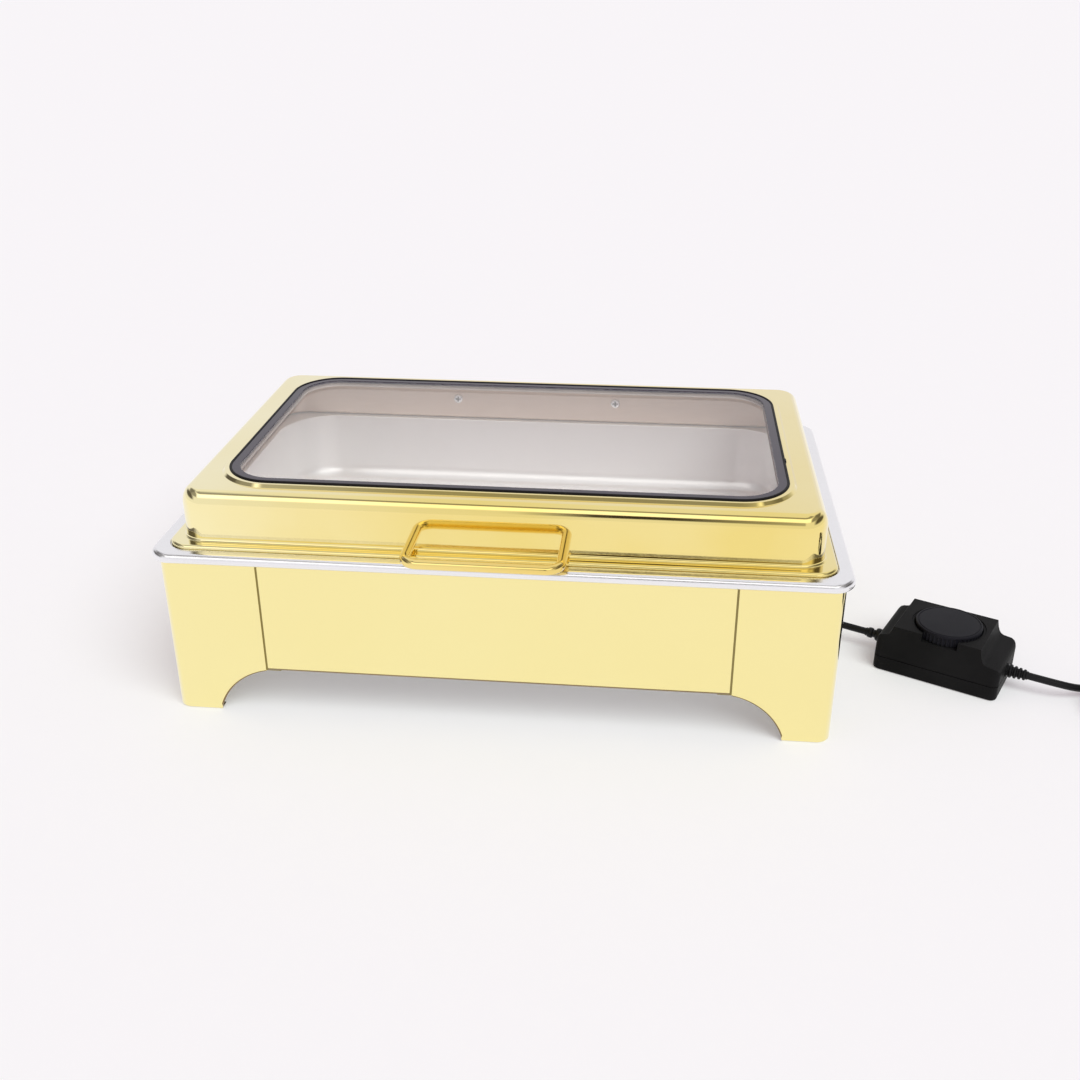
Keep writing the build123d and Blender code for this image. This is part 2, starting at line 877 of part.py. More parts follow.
clip_inside = element_diameter / 2 + clip_slack
clip_outside = clip_inside + clip_sheet
with BuildPart() as element_clips:
    for x in (element_left / 2, element_right / 2):
        with BuildSketch(Plane.YZ.offset(x - clip_width / 2)) as saddle:
            with Locations((-element_side, element_z), (element_side, element_z)):
                Circle(clip_outside)
                Rectangle(2 * clip_outside, clip_outside, align=(Align.CENTER, Align.MIN))
            with Locations((-element_side, element_z), (element_side, element_z)):
                Circle(clip_inside, mode=Mode.SUBTRACT)
                Rectangle(
                    2 * clip_inside,
                    clip_outside,
                    align=(Align.CENTER, Align.MIN),
                    mode=Mode.SUBTRACT,
                )
            with Locations((0, plate_bottom)):
                Rectangle(
                    4 * element_side,
                    2 * clip_outside,
                    align=(Align.CENTER, Align.MIN),
                    mode=Mode.SUBTRACT,
                )
        extrude(saddle.sketch, amount=clip_width)

with BuildPart() as thermal_cutout:
    with BuildSketch(Plane.XY.offset(plate_bottom - cutout_height)):
        Circle(cutout_diameter / 2)
    extrude(amount=cutout_height)
    with Locations((0, 0, plate_bottom - cutout_tab / 2)):
        Box(2 * cutout_diameter, cutout_tab, cutout_tab)

with BuildPart() as shield_spacers:
    with BuildSketch(Plane.XY.offset(shield_top)):
        with GridLocations(2 * stud_x, 2 * stud_y, 2, 2):
            Circle(spacer_diameter / 2)
            Circle(stud_diameter / 2 + screw_slack, mode=Mode.SUBTRACT)
    extrude(amount=spacer_height)

box_screw_y = box_width / 2 + box_tab / 2
with BuildPart() as heat_shield:
    with Locations((0, 0, shield_bottom + (shield_sheet + shield_wall) / 2)):
        Box(shield_length, shield_width, shield_sheet + shield_wall)
    with Locations((0, 0, shield_top + shield_wall / 2)):
        Box(
            shield_length - 2 * shield_sheet,
            shield_width - 2 * shield_sheet,
            shield_wall,
            mode=Mode.SUBTRACT,
        )
    with BuildSketch(Plane.XY.offset(shield_bottom)):
        with GridLocations(2 * stud_x, 2 * stud_y, 2, 2):
            Circle(stud_diameter / 2 + screw_slack)
        with Locations((box_x, box_y)):
            Rectangle(wire_window, wire_window)
        with Locations((box_x, box_y - box_screw_y), (box_x, box_y + box_screw_y)):
            Circle(screw_hole / 2)
    extrude(amount=shield_sheet, mode=Mode.SUBTRACT)

with BuildPart() as shield_nuts:
    for x in (-stud_x, stud_x):
        for y in (-stud_y, stud_y):
            seat = (x, y, shield_bottom)
            hex_nut(seat, (0, 0, -1), stud_nut_flats, stud_nut_thickness, stud_diameter + 2 * thread_slack)

# Terminal box with its block, wires, screws and cable gland
with BuildPart() as terminal_box:
    with Locations((box_x, box_y, box_floor + box_height / 2)):
        Box(box_length, box_width, box_height)
    with Locations((box_x, box_y, box_floor + box_wall + box_height / 2)):
        Box(box_length - 2 * box_wall, box_width - 2 * box_wall, box_height, mode=Mode.SUBTRACT)
    for side in (-1, 1):
        with Locations((box_x, box_y + side * box_screw_y, shield_bottom - box_tab_thickness / 2)):
            Box(box_tab, box_tab, box_tab_thickness)
        rod(
            (box_x, box_y + side * box_screw_y, shield_bottom - box_tab_thickness),
            (0, 0, 1),
            screw_hole / 2,
            box_tab_thickness,
            Mode.SUBTRACT,
        )
    rod(
        (box_end - 2 * box_wall, box_y, gland_z),
        (1, 0, 0),
        gland_thread_radius + thread_slack,
        4 * box_wall,
        Mode.SUBTRACT,
    )

with BuildPart() as box_screws:
    for side in (-1, 1):
        seat = (box_x, box_y + side * box_screw_y, shield_bottom - box_tab_thickness)
        pan_screw(seat, Vector(0, 0, 1), box_tab_thickness + shield_sheet + nut_thickness + screw_tail)

with BuildPart() as box_nuts:
    for side in (-1, 1):
        seat = (box_x, box_y + side * box_screw_y, shield_top)
        hex_nut(seat, (0, 0, 1), nut_flats, nut_thickness, screw_diameter + 2 * thread_slack)

block_top = box_floor + box_wall + block_height
block_end = box_x + block_length / 2
with BuildPart() as terminal_block:
    with Locations((box_x, box_y, block_top - block_height / 2)):
        Box(block_length, block_width, block_height)

gland_inner = box_end - box_wall - gland_nut_length
with BuildPart() as supply_wires:
    for step in (-1, 0, 1):
        rod(
            (block_end, box_y + step * supply_wire_pitch, gland_z),
            (1, 0, 0),
            wire_diameter / 2,
            gland_inner - block_end,
        )

lead_top = element_z - element_diameter / 2 - lead_slack
with BuildPart() as element_leads:
    for side in (-1, 1):
        rod(
            (element_end + wire_offset, box_y + side * half_terminal, block_top),
            (0, 0, 1),
            wire_diameter / 2,
            lead_top - block_top,
        )

with BuildPart() as cable_gland:
    with BuildSketch(Plane.XZ.offset(-box_y)):
        with BuildLine():
            Polyline(
                (gland_inner, gland_z),
                (gland_inner, gland_z + gland_nut_radius),
                (box_end - box_wall, gland_z + gland_nut_radius),
                (box_end - box_wall, gland_z + gland_thread_radius),
                (box_end, gland_z + gland_thread_radius),
                (box_end, gland_z + gland_collar_radius),
                (box_end + gland_collar_length, gland_z + gland_collar_radius),
                (box_end + gland_collar_length, gland_z + gland_dome_radius),
                (gland_end, gland_z + gland_end_radius),
                (gland_end, gland_z),
                close=True,
            )
        make_face()
    revolve(axis=Axis((0, box_y, gland_z), (1, 0, 0)))


# Controller case, dial and what is inside
def case_plan(height, inset):
    """Outline of the controller seen from above, with cut and rounded corners."""
    with BuildSketch(case_plane.offset(height)) as plan:
        Rectangle(case_length - 2 * inset, case_width - 2 * inset)
        chamfer(plan.vertices(), case_corner_cut)
        fillet(plan.vertices(), case_corner_round)
    return plan.sketch


def cover_profile(inset):
    """Side view of the upper case: low ends, then a raised middle with sloping shoulders."""
    half = case_length / 2 - inset
    shoulder = plateau_length / 2 - inset
    with BuildSketch(case_side) as profile:
        with BuildLine():
            Polyline(
                (-half, lower_height),
                (-half, lower_height + end_edge_rise),
                (-shoulder - plateau_slope, lower_height + end_rise - inset),
                (-shoulder, cover_top - inset),
                (shoulder, cover_top - inset),
                (shoulder + plateau_slope, lower_height + end_rise - inset),
                (half, lower_height + end_edge_rise),
                (half, lower_height),
                close=True,
            )
        make_face()
    return profile.sketch


case_posts = [
    (side_x * (case_length / 2 - case_post_inset_x), side_y * (case_width / 2 - case_post_inset_y))
    for side_x in (-1, 1)
    for side_y in (-1, 1)
]
relief_hole = relief_neck_radius + relief_hole_slack
with BuildPart() as controller_lower_case:
    extrude(case_plan(0, 0), amount=lower_height)
    extrude(case_plan(case_wall, case_wall), amount=lower_height - case_wall, mode=Mode.SUBTRACT)
    with BuildSketch(case_plane.offset(case_wall)):
        with Locations(*case_posts):
            Circle(case_post_diameter / 2)
    extrude(amount=lower_height - case_wall)
    with BuildSketch(case_plane.offset(case_wall)):
        with GridLocations(board_length - case_post_diameter, board_post_spacing, 2, 2):
            Circle(board_post_diameter / 2)
    extrude(amount=board_post_height)
    with BuildSketch(case_plane):
        with Locations(*case_posts):
            Circle(case_screw_diameter / 2 + screw_slack)
    extrude(amount=lower_height, mode=Mode.SUBTRACT)
    with BuildSketch(case_plane):
        with Locations(*case_posts):
            Circle(case_screw_head / 2 + screw_slack)
    extrude(amount=case_screw_head_depth, mode=Mode.SUBTRACT)
    rod(
        case_plane.from_local_coords(Vector(-case_length, 0, relief_axis)),
        case_axis,
        relief_hole,
        2 * case_length,
        Mode.SUBTRACT,
    )


def cover_solid(inset):
    """Upper case as a solid, all its faces set in by the same wall."""
    with BuildPart() as shape:
        extrude(cover_profile(inset), amount=case_width / 2, both=True)
        foot = case_plan(lower_height, inset)
        crown = case_plan(cover_top, inset + side_lean)
        loft([foot, crown], ruled=True, mode=Mode.INTERSECT)
    return shape.part


with BuildPart() as cover_void:
    add(cover_solid(case_wall))
    with BuildSketch(case_plane.offset(switch_top)):
        Rectangle(case_length, case_width)
    extrude(amount=cover_top, mode=Mode.SUBTRACT)

cover_outer = cover_solid(0)
pocket_radius = dial_diameter / 2 + dial_gap
with BuildPart() as controller_cover:
    add(cover_outer)
    add(cover_void.part, mode=Mode.SUBTRACT)
    with BuildSketch(case_plane.offset(lower_height)):
        with Locations(*case_posts):
            Circle(case_post_diameter / 2)
            Circle(case_screw_diameter / 2 + thread_slack, mode=Mode.SUBTRACT)
    extrude(amount=switch_top - lower_height)
    with BuildSketch(case_plane.offset(pocket_z)):
        Circle(pocket_radius)
        with Locations((0, -case_width / 2)):
            Rectangle(notch_width, case_width - dial_diameter + notch_depth)
    extrude(amount=cover_top, mode=Mode.SUBTRACT)
    with BuildSketch(case_plane.offset(switch_top)):
        Circle(spindle_diameter / 2 + dial_gap)
    extrude(amount=cover_top, mode=Mode.SUBTRACT)
    rod(
        case_plane.from_local_coords(Vector(-case_length, 0, relief_axis)),
        case_axis,
        relief_hole,
        2 * case_length,
        Mode.SUBTRACT,
    )

with BuildPart() as controller_dial:
    with BuildSketch(case_plane.offset(dial_bottom)):
        Circle(dial_diameter / 2)
        with PolarLocations(dial_diameter / 2, dial_ribs):
            Circle(dial_rib_radius, mode=Mode.SUBTRACT)
    extrude(amount=dial_height)
    with BuildSketch(case_plane.offset(dial_top - dial_ring_depth)):
        Circle(dial_diameter / 2 - dial_ring_inset)
        Circle(dial_diameter / 2 - dial_ring_inset - dial_ring_width, mode=Mode.SUBTRACT)
    extrude(amount=dial_ring_depth, mode=Mode.SUBTRACT)
    with BuildSketch(case_plane.offset(dial_bottom)):
        Circle(spindle_diameter / 2)
    extrude(amount=spindle_socket, mode=Mode.SUBTRACT)

with BuildPart() as dial_spindle:
    with BuildSketch(case_plane.offset(spindle_bottom)):
        Circle(spindle_diameter / 2)
    extrude(amount=spindle_length + spindle_socket)

with BuildPart() as dial_switch:
    with BuildSketch(case_plane.offset(switch_bottom)):
        Rectangle(switch_size, switch_size)
    extrude(amount=switch_top - switch_bottom)
    with BuildSketch(case_plane.offset(spindle_bottom)):
        Circle(spindle_diameter / 2 + spindle_fit)
    extrude(amount=spindle_length, mode=Mode.SUBTRACT)

with BuildPart() as circuit_board:
    with BuildSketch(case_plane.offset(switch_bottom - board_thickness)):
        Rectangle(board_length, board_width)
        with Locations(*case_posts):
            Circle(case_post_diameter / 2 + dial_gap, mode=Mode.SUBTRACT)
    extrude(amount=board_thickness)

with BuildPart() as controller_screws:
    with BuildSketch(case_plane.offset(case_screw_head_depth)):
        with Locations(*case_posts):
            Circle(case_screw_diameter / 2)
    extrude(amount=case_screw_length)
    with BuildSketch(case_plane.offset(case_screw_recess)):
        with Locations(*case_posts):
            Circle(case_screw_head / 2)
    extrude(amount=case_screw_head_depth - case_screw_recess)


# Cord reliefs at the two ends of the controller
def cord_relief(side, ribs):
    """Tapered boot with ribs, held in the case by a neck and a flange inside the wall."""
    end = case_length / 2
    inside = end - case_wall - relief_flange_gap
    step = relief_length / (2 * ribs + 1)
    outline = [
        (inside - relief_flange, 0),
        (inside - relief_flange, relief_neck_radius + relief_flange),
        (inside, relief_neck_radius + relief_flange),
        (inside, relief_neck_radius),
        (end, relief_neck_radius),
    ]
    for band in range(2 * ribs + 1):
        taper = relief_radius + (relief_end_radius - relief_radius) * band / (2 * ribs)
        radius = taper if band % 2 == 0 else taper - relief_rib_depth
        outline.append((end + band * step, radius))
        outline.append((end + (band + 1) * step, radius))
    outline.append((end + relief_length, 0))
    middle = Vector(controller_x, controller_y, relief_axis)
    outward = case_axis * side
    with BuildPart() as boot:
        with BuildSketch(Plane(origin=middle, x_dir=outward, z_dir=outward.cross(Vector(0, 0, 1)))):
            with BuildLine():
                Polyline(*outline, close=True)
            make_face()
        revolve(axis=Axis(middle, outward))
    return boot


link_relief = cord_relief(-1, link_relief_ribs)
mains_relief = cord_relief(1, mains_relief_ribs)

# Link cord from the terminal box to the controller
gland_mouth = Vector(gland_end, box_y, gland_z)
link_bend = gland_mouth + Vector(link_run, 0, 0)
with BuildPart() as link_cord:
    add(
        cord_tube(
            [
                gland_mouth,
                link_bend,
                link_bend + link_dip,
                link_boot_end - case_axis * link_end_run,
                link_boot_end,
            ]
        )
    )

# Mains cord from the controller to its coil
coil_start = Vector(coil_x - cord_diameter, coil_y + coil_radius, coil_z)
lead_bend = lead_boot_end + case_axis * lead_run
with BuildPart() as mains_cord:
    add(
        cord_tube(
            [
                lead_boot_end,
                lead_bend,
                lead_bend + lead_first_fall,
                lead_bend + lead_first_fall + lead_second_fall,
                coil_start - Vector(lead_end_run, 0, 0),
                coil_start,
            ]
        )
    )

# Coil: two layers of turns, in along the table and out on top
with BuildPart() as mains_cord_coil:
    with BuildLine() as coil_path:
        turn_end = Vector(coil_x, coil_y + coil_radius, coil_z)
        Line(coil_start, turn_end)
        heading = Vector(1, 0, 0)
        radius = coil_radius
        for half_turn in range(coil_half_turns):
            turn_start = turn_end
            turn_end = turn_start - Vector(0, heading.X * 2 * radius, 0)
            TangentArc(turn_start, turn_end, tangent=heading)
            heading = heading * -1
            radius = radius - coil_pitch / 2
        climb_reach = hypot(radius, coil_pitch / 2)
        climb_side = Vector(heading.X * climb_reach, -heading.X * radius, coil_pitch / 2)
        climb_middle = turn_end + climb_side
        climb_end = turn_end + Vector(0, -heading.X * 2 * radius, coil_pitch)
        climb = TangentArc(turn_end, climb_middle, tangent=heading)
        TangentArc(climb_middle, climb_end, tangent=climb % 1)
        turn_end = climb_end
        heading = heading * -1
        for half_turn in range(coil_half_turns - 1):
            radius = radius + coil_pitch / 2
            turn_start = turn_end
            turn_end = turn_start - Vector(0, heading.X * 2 * radius, 0)
            TangentArc(turn_start, turn_end, tangent=heading)
            heading = heading * -1
        coil_end = turn_end + heading * cord_diameter
        Line(turn_end, coil_end)
    coil_wire = coil_path.wire()
    with BuildSketch(Plane(origin=coil_wire @ 0, z_dir=coil_wire % 0)):
        Circle(cord_radius)
    sweep(path=coil_wire)

coil_points = [coil_wire.position_at(i / coil_samples) for i in range(coil_samples + 1)]
apart = int(3 * pi * cord_diameter / coil_wire.length * coil_samples)
coil_gap = min(
    (near - far).length
    for i, near in enumerate(coil_points)
    for far in coil_points[i + apart :]
)
print("coil length", round(coil_wire.length, 1), "least gap", round(coil_gap - cord_diameter, 2))
coil_expected = pi * cord_radius**2 * coil_wire.length
print("coil volume ratio", round(mains_cord_coil.part.volume / coil_expected, 4))

# Tie round the coil
inner_turn = coil_radius - coil_pitch * coil_half_turns / 2
tie_near = (inner_turn**2 - (tie_width / 2) ** 2) ** 0.5 - cord_radius - tie_gap
tie_far = coil_radius + cord_radius + tie_gap
tie_bottom = coil_z - cord_radius - tie_gap
tie_top = coil_upper_z + cord_radius + tie_gap
tie_plane = Plane(
    origin=(coil_x + (tie_near + tie_far) / 2, coil_y + tie_width / 2, (tie_bottom + tie_top) / 2),
    x_dir=(1, 0, 0),
    z_dir=(0, -1, 0),
)
with BuildPart() as cord_tie:
    with BuildSketch(tie_plane):
        RectangleRounded(
            tie_far - tie_near + 2 * tie_thickness, tie_top - tie_bottom + 2 * tie_thickness, tie_corner
        )
        RectangleRounded(
            tie_far - tie_near, tie_top - tie_bottom, tie_corner - tie_thickness, mode=Mode.SUBTRACT
        )
    extrude(amount=tie_width)

# Tail of the cord and the plug beside the coil
plug_mouth = Vector(coil_x + plug_beside_coil, coil_y + plug_before_coil, plug_axis)
tail_bend = coil_end + Vector(tail_run, 0, 0)
with BuildPart() as mains_cord_tail:
    add(
        cord_tube(
            [
                coil_end,
                tail_bend,
                tail_bend + tail_turn,
                plug_mouth + Vector(0, tail_end_run, 0),
                plug_mouth,
            ]
        )
    )

plug_plane = Plane(origin=plug_mouth, x_dir=(1, 0, 0), z_dir=(0, -1, 0))
body_plane = plug_plane.offset(plug_boot_length)
face_plane = body_plane.offset(plug_length)
blade_sockets = [(-blade_spacing / 2, blade_rise), (blade_spacing / 2, blade_rise)]
earth_place = (0, blade_rise - earth_drop)
with BuildPart() as plug_body:
    with BuildSketch(plug_plane):
        Circle(plug_boot_end_radius)
    with BuildSketch(body_plane):
        Circle(plug_boot_radius)
    loft()
    with BuildSketch(body_plane):
        RectangleRounded(plug_width, plug_height, plug_round)
    extrude(amount=plug_length)
    with BuildSketch(face_plane.offset(-blade_socket)):
        with Locations(*blade_sockets):
            Rectangle(blade_thickness, blade_width)
        with Locations(earth_place):
            Circle(earth_diameter / 2 + thread_slack)
    extrude(amount=blade_socket, mode=Mode.SUBTRACT)

with BuildPart() as plug_pins:
    with BuildSketch(face_plane.offset(-blade_socket)):
        with Locations(*blade_sockets):
            Rectangle(blade_thickness, blade_width)
    extrude(amount=blade_socket + blade_length)
    with BuildSketch(face_plane.offset(-blade_socket)):
        with Locations(earth_place):
            Circle(earth_diameter / 2)
    extrude(amount=blade_socket + earth_length)

pieces = {
    "left_end_frame": left_end_frame,
    "right_end_frame": right_end_frame,
    "front_panel": front_panel,
    "rear_panel": rear_panel,
    "water_pan": water_pan,
    "food_pan": food_pan,
    "lid_shell": lid_shell,
    "window_glass": window_glass,
    "window_gasket": window_gasket,
    "lid_handle": lid_handle,
    "handle_screws": handle_screws,
    "hinge_leaf_left": hinge_leaf_left,
    "hinge_leaf_right": hinge_leaf_right,
    "hinge_leaf_screws": hinge_leaf_screws,
    "hinge_leaf_nuts": hinge_leaf_nuts,
    "hinge_bracket_left": hinge_bracket_left,
    "hinge_bracket_right": hinge_bracket_right,
    "hinge_pins": hinge_pins,
    "hinge_bracket_screws": hinge_bracket_screws,
    "hinge_bracket_nuts": hinge_bracket_nuts,
    "heater_plate": heater_plate,
    "heating_element": heating_element,
    "element_clips": element_clips,
    "thermal_cutout": thermal_cutout,
    "shield_spacers": shield_spacers,
    "heat_shield": heat_shield,
    "shield_nuts": shield_nuts,
    "terminal_box": terminal_box,
    "box_screws": box_screws,
    "box_nuts": box_nuts,
    "terminal_block": terminal_block,
    "supply_wires": supply_wires,
    "element_leads": element_leads,
    "cable_gland": cable_gland,
    "controller_lower_case": controller_lower_case,
    "controller_cover": controller_cover,
    "controller_dial": controller_dial,
    "dial_spindle": dial_spindle,
    "dial_switch": dial_switch,
    "circuit_board": circuit_board,
    "controller_screws": controller_screws,
    "link_relief": link_relief,
    "mains_relief": mains_relief,
    "link_cord": link_cord,
    "mains_cord": mains_cord,
    "mains_cord_coil": mains_cord_coil,
    "mains_cord_tail": mains_cord_tail,
    "cord_tie": cord_tie,
    "plug_body": plug_body,
    "plug_pins": plug_pins,
}
for name, piece in pieces.items():
    piece.part.label = name
    export_step(piece.part, f"parts/{name}.step")
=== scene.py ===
import bmesh
import bpy
from math import cos, hypot, pi, radians, sin
from mathutils import Matrix, Vector


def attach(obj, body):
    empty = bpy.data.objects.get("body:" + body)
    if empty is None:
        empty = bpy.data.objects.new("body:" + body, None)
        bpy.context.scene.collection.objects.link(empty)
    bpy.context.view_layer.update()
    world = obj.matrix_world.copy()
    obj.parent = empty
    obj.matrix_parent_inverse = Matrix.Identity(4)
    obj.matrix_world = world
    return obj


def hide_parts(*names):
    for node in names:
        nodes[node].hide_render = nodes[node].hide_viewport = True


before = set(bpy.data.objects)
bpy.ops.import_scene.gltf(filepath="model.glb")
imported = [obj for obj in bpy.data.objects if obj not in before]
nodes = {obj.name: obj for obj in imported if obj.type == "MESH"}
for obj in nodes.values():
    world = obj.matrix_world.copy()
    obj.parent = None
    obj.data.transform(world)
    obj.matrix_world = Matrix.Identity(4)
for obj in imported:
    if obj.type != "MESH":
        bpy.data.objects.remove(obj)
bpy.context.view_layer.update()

MM = 0.001
CORNER_STEPS = 20


# Shader nodes
class Value:
    """One socket of a material's nodes. Operators on it add Math nodes."""

    def __init__(self, graph, socket):
        self.graph = graph
        self.socket = socket

    def math(self, operation, *others):
        return self.graph.node("ShaderNodeMath", {"operation": operation}, [self, *others])

    def __add__(self, other):
        return self.math("ADD", other)

    __radd__ = __add__

    def __mul__(self, other):
        return self.math("MULTIPLY", other)

    __rmul__ = __mul__

    def most(self, other):
        return self.math("MAXIMUM", other)


class Graph:
    """A node tree, with one method that adds any node."""

    def __init__(self, tree):
        self.tree = tree

    def put(self, socket, value):
        if isinstance(value, Value):
            self.tree.links.new(value.socket, socket)
        else:
            socket.default_value = value

    def node(self, kind, settings, values, output=0):
        made = self.tree.nodes.new(kind)
        for name, setting in settings.items():
            setattr(made, name, setting)
        pairs = values.items() if isinstance(values, dict) else enumerate(values)
        for name, value in pairs:
            self.put(made.inputs[name], value)
        return Value(self, made.outputs[output])

    def place(self, scale=(1, 1, 1), turn=(0, 0, 0)):
        """Object coordinates, stretched and turned for a pattern."""
        spot = self.node("ShaderNodeTexCoord", {}, [], "Object")
        return self.node("ShaderNodeMapping", {}, {"Vector": spot, "Scale": scale, "Rotation": turn})

    def noise(self, spot, scale, detail=2.0, rough=0.5):
        made = {"Vector": spot, "Scale": scale, "Detail": detail, "Roughness": rough}
        return self.node("ShaderNodeTexNoise", {}, made, "Fac")

    def ramp(self, value, low, high, first=0.0, last=1.0):
        """Spreads a value that goes from low to high between two other numbers."""
        made = {"Value": value, "From Min": low, "From Max": high, "To Min": first, "To Max": last}
        return self.node("ShaderNodeMapRange", {}, made)

    def mix(self, share, first, second):
        """Colour between two colours."""
        pair = [c if isinstance(c, Value) else (*c, 1) for c in (first, second)]
        return self.node("ShaderNodeMix", {"data_type": "RGBA"}, {0: share, 6: pair[0], 7: pair[1]}, 2)

    def bump(self, height, strength, distance):
        return self.node("ShaderNodeBump", {}, {"Height": height, "Strength": strength, "Distance": distance})


class Finish(Graph):
    """A material with a Principled shader."""

    def __init__(self, name):
        self.material = bpy.data.materials.new(name)
        self.material.use_nodes = True
        super().__init__(self.material.node_tree)
        self.shader = self.tree.nodes["Principled BSDF"]

    def set(self, sockets):
        for name, value in sockets.items():
            self.put(self.shader.inputs[name], value)
        return self.material


def gold_finish(name, pale, deep, sheen, painted_reflection_span=(-0.5, 0.5)):
    """Polished gold-coloured steel over a cloudy tone, with painted light in its colour: a painted reflection
    gradient that darkens it from left to right, and a painted glancing sheen that pales it where it is seen
    edge-on; rolling waves and buffing streaks."""
    gold = Finish(name)
    cloud = gold.ramp(gold.noise(gold.place(), 9.0, 3.0), 0.35, 0.65)
    across = gold.node("ShaderNodeSeparateXYZ", {}, [gold.place()], "X")
    # Painted reflection gradient: the colour darkens from left to right along X.
    painted_reflection_drift = gold.ramp(across, *painted_reflection_span)
    tone = gold.mix(0.25 * cloud + 0.75 * painted_reflection_drift, pale, deep)
    # Painted glancing sheen: the base colour pales where the surface is seen edge-on.
    glance = gold.node("ShaderNodeLayerWeight", {}, [0.5], "Facing")
    tone = gold.mix(gold.ramp(glance, 0.4, 0.8, 0.0, 0.42), tone, (0.87, 0.84, 0.75))
    streak = gold.noise(gold.place((14, 14, 260)), 3.0, 4.0, 0.6)
    specks = gold.noise(gold.place(), 900.0, 2.0)
    rough = gold.ramp(streak, 0.3, 0.7, sheen, sheen + 0.05) + gold.ramp(specks, 0.62, 0.8, 0.0, 0.06)
    wave = gold.noise(gold.place((1, 1, 1.6)), 7.0, 1.0)
    wavy = gold.bump(wave + 0.008 * streak, 0.08, 0.004)
    return gold.set({"Base Color": tone, "Metallic": 1.0, "Roughness": rough, "Normal": wavy})


def steel_finish(name, pale, dark, rough, grain, stretch, metal=1.0, depth=0.0003, uneven=0.12):
    """Stainless sheet with a fine grain drawn out along one direction."""
    steel = Finish(name)
    lines = steel.noise(steel.place(stretch), grain, 4.0, 0.65)
    cloud = steel.noise(steel.place(), 12.0, 3.0)
    tone = steel.mix(steel.ramp(lines * 0.6 + cloud * 0.4, 0.3, 0.7), dark, pale)
    spread = steel.ramp(lines, 0.25, 0.75, rough, rough + uneven)
    relief = steel.bump(lines, 0.12, depth)
    return steel.set({"Base Color": tone, "Metallic": metal, "Roughness": spread, "Normal": relief})


def moulded_finish(name, dark, light, rough, grain, relief, shine=0.5):
    """Moulded plastic or rubber: fine leathery grain, faint scuffs and uneven sheen."""
    plastic = Finish(name)
    grains = plastic.noise(plastic.place(), grain, 3.0, 0.6)
    cloud = plastic.noise(plastic.place(), 22.0, 3.0)
    scuff = plastic.noise(plastic.place((40, 220, 90)), 4.0, 5.0, 0.7)
    worn = plastic.ramp(scuff, 0.62, 0.78, 0.0, 0.5)
    tone = plastic.mix((plastic.ramp(cloud, 0.3, 0.7, 0.0, 0.6) + worn).math("MINIMUM", 1.0), dark, light)
    sheen = plastic.ramp(grains, 0.3, 0.7, rough - 0.06, rough + 0.08) + 0.08 * worn
    pores = plastic.bump(grains, relief, 0.0004)
    return plastic.set({"Base Color": tone, "Roughness": sheen, "Normal": pores, "Specular IOR Level": shine})


def glass_finish():
    """Clear glass pane that mirrors more at a glance, with a faint film of wiping marks."""
    glass = Finish("window_clear")
    smear = glass.noise(glass.place((6, 30, 6), (0, 0, 0.5)), 5.0, 4.0, 0.6)
    rough = glass.ramp(smear, 0.4, 0.8, 0.01, 0.06)
    glass.set({"Base Color": (0.97, 0.97, 0.97, 1), "Metallic": 1.0, "Roughness": rough})
    clear = glass.node("ShaderNodeBsdfTransparent", {}, [(0.992, 0.99, 0.99, 1)])
    glance = glass.node("ShaderNodeLayerWeight", {}, [0.5], "Facing")
    shown = 0.03 + 0.8 * glance.math("POWER", 5.0)
    shine = Value(glass, glass.shader.outputs[0])
    pane = glass.node("ShaderNodeMixShader", {}, [shown, clear, shine])
    glass.put(glass.tree.nodes["Material Output"].inputs["Surface"], pane)
    return glass.material


GOLD = gold_finish("gold_polish", (0.970, 0.865, 0.435), (0.955, 0.830, 0.385), sheen=0.05)
# The lid's and the handle rod's gold get a steep painted reflection gradient, pale at the left and deep at
# the right.
GOLD_LID = gold_finish(
    "gold_polish_lid", (0.985, 0.890, 0.520), (0.905, 0.730, 0.250), sheen=0.04, painted_reflection_span=(-0.23, -0.05)
)
GOLD_ROD = gold_finish(
    "gold_polish_rod", (0.945, 0.76, 0.30), (0.89, 0.66, 0.20), sheen=0.05, painted_reflection_span=(-0.08, 0.08)
)
# Dark gold, rough like unpolished sheet, whose darkness is painted shade in the seam gaps.
GOLD_SEAM_SHADE = gold_finish("gold_seam_painted_shade", (0.36, 0.30, 0.12), (0.26, 0.21, 0.08), sheen=0.35)
# Dark gold for rounded lower edges: painted reflection of the shade under the base.
GOLD_EDGE_SHADE = gold_finish("gold_edge_painted_shade", (0.30, 0.20, 0.09), (0.20, 0.13, 0.06), sheen=0.4)
LID_INSIDE = steel_finish(
    "lid_inside", (0.88, 0.74, 0.63), (0.80, 0.66, 0.55),
    rough=0.30, grain=50.0, stretch=(1, 10, 10), metal=0.5,
)
RIM_STEEL = steel_finish(
    "rim_steel", (0.92, 0.91, 0.935), (0.86, 0.85, 0.875),
    rough=0.15, grain=300.0, stretch=(1, 1, 1), depth=0.00004,
)
PAN_STEEL = steel_finish(
    "pan_satin_steel", (0.97, 0.955, 0.94), (0.94, 0.925, 0.91),
    rough=0.29, grain=55.0, stretch=(1, 16, 6), metal=0.5, depth=0.00004, uneven=0.03,
)
SHEET_STEEL = steel_finish(
    "shield_sheet", (0.68, 0.67, 0.66), (0.50, 0.49, 0.48), rough=0.32, grain=40.0, stretch=(12, 1, 1)
)
HINGE_STEEL = steel_finish(
    "hinge_steel", (0.78, 0.76, 0.72), (0.62, 0.60, 0.56), rough=0.24, grain=120.0, stretch=(1, 8, 1)
)
SCREW_ZINC = steel_finish(
    "screw_zinc", (0.98, 0.98, 0.99), (0.92, 0.92, 0.94),
    rough=0.16, grain=300.0, stretch=(1, 1, 3), metal=0.75,
)
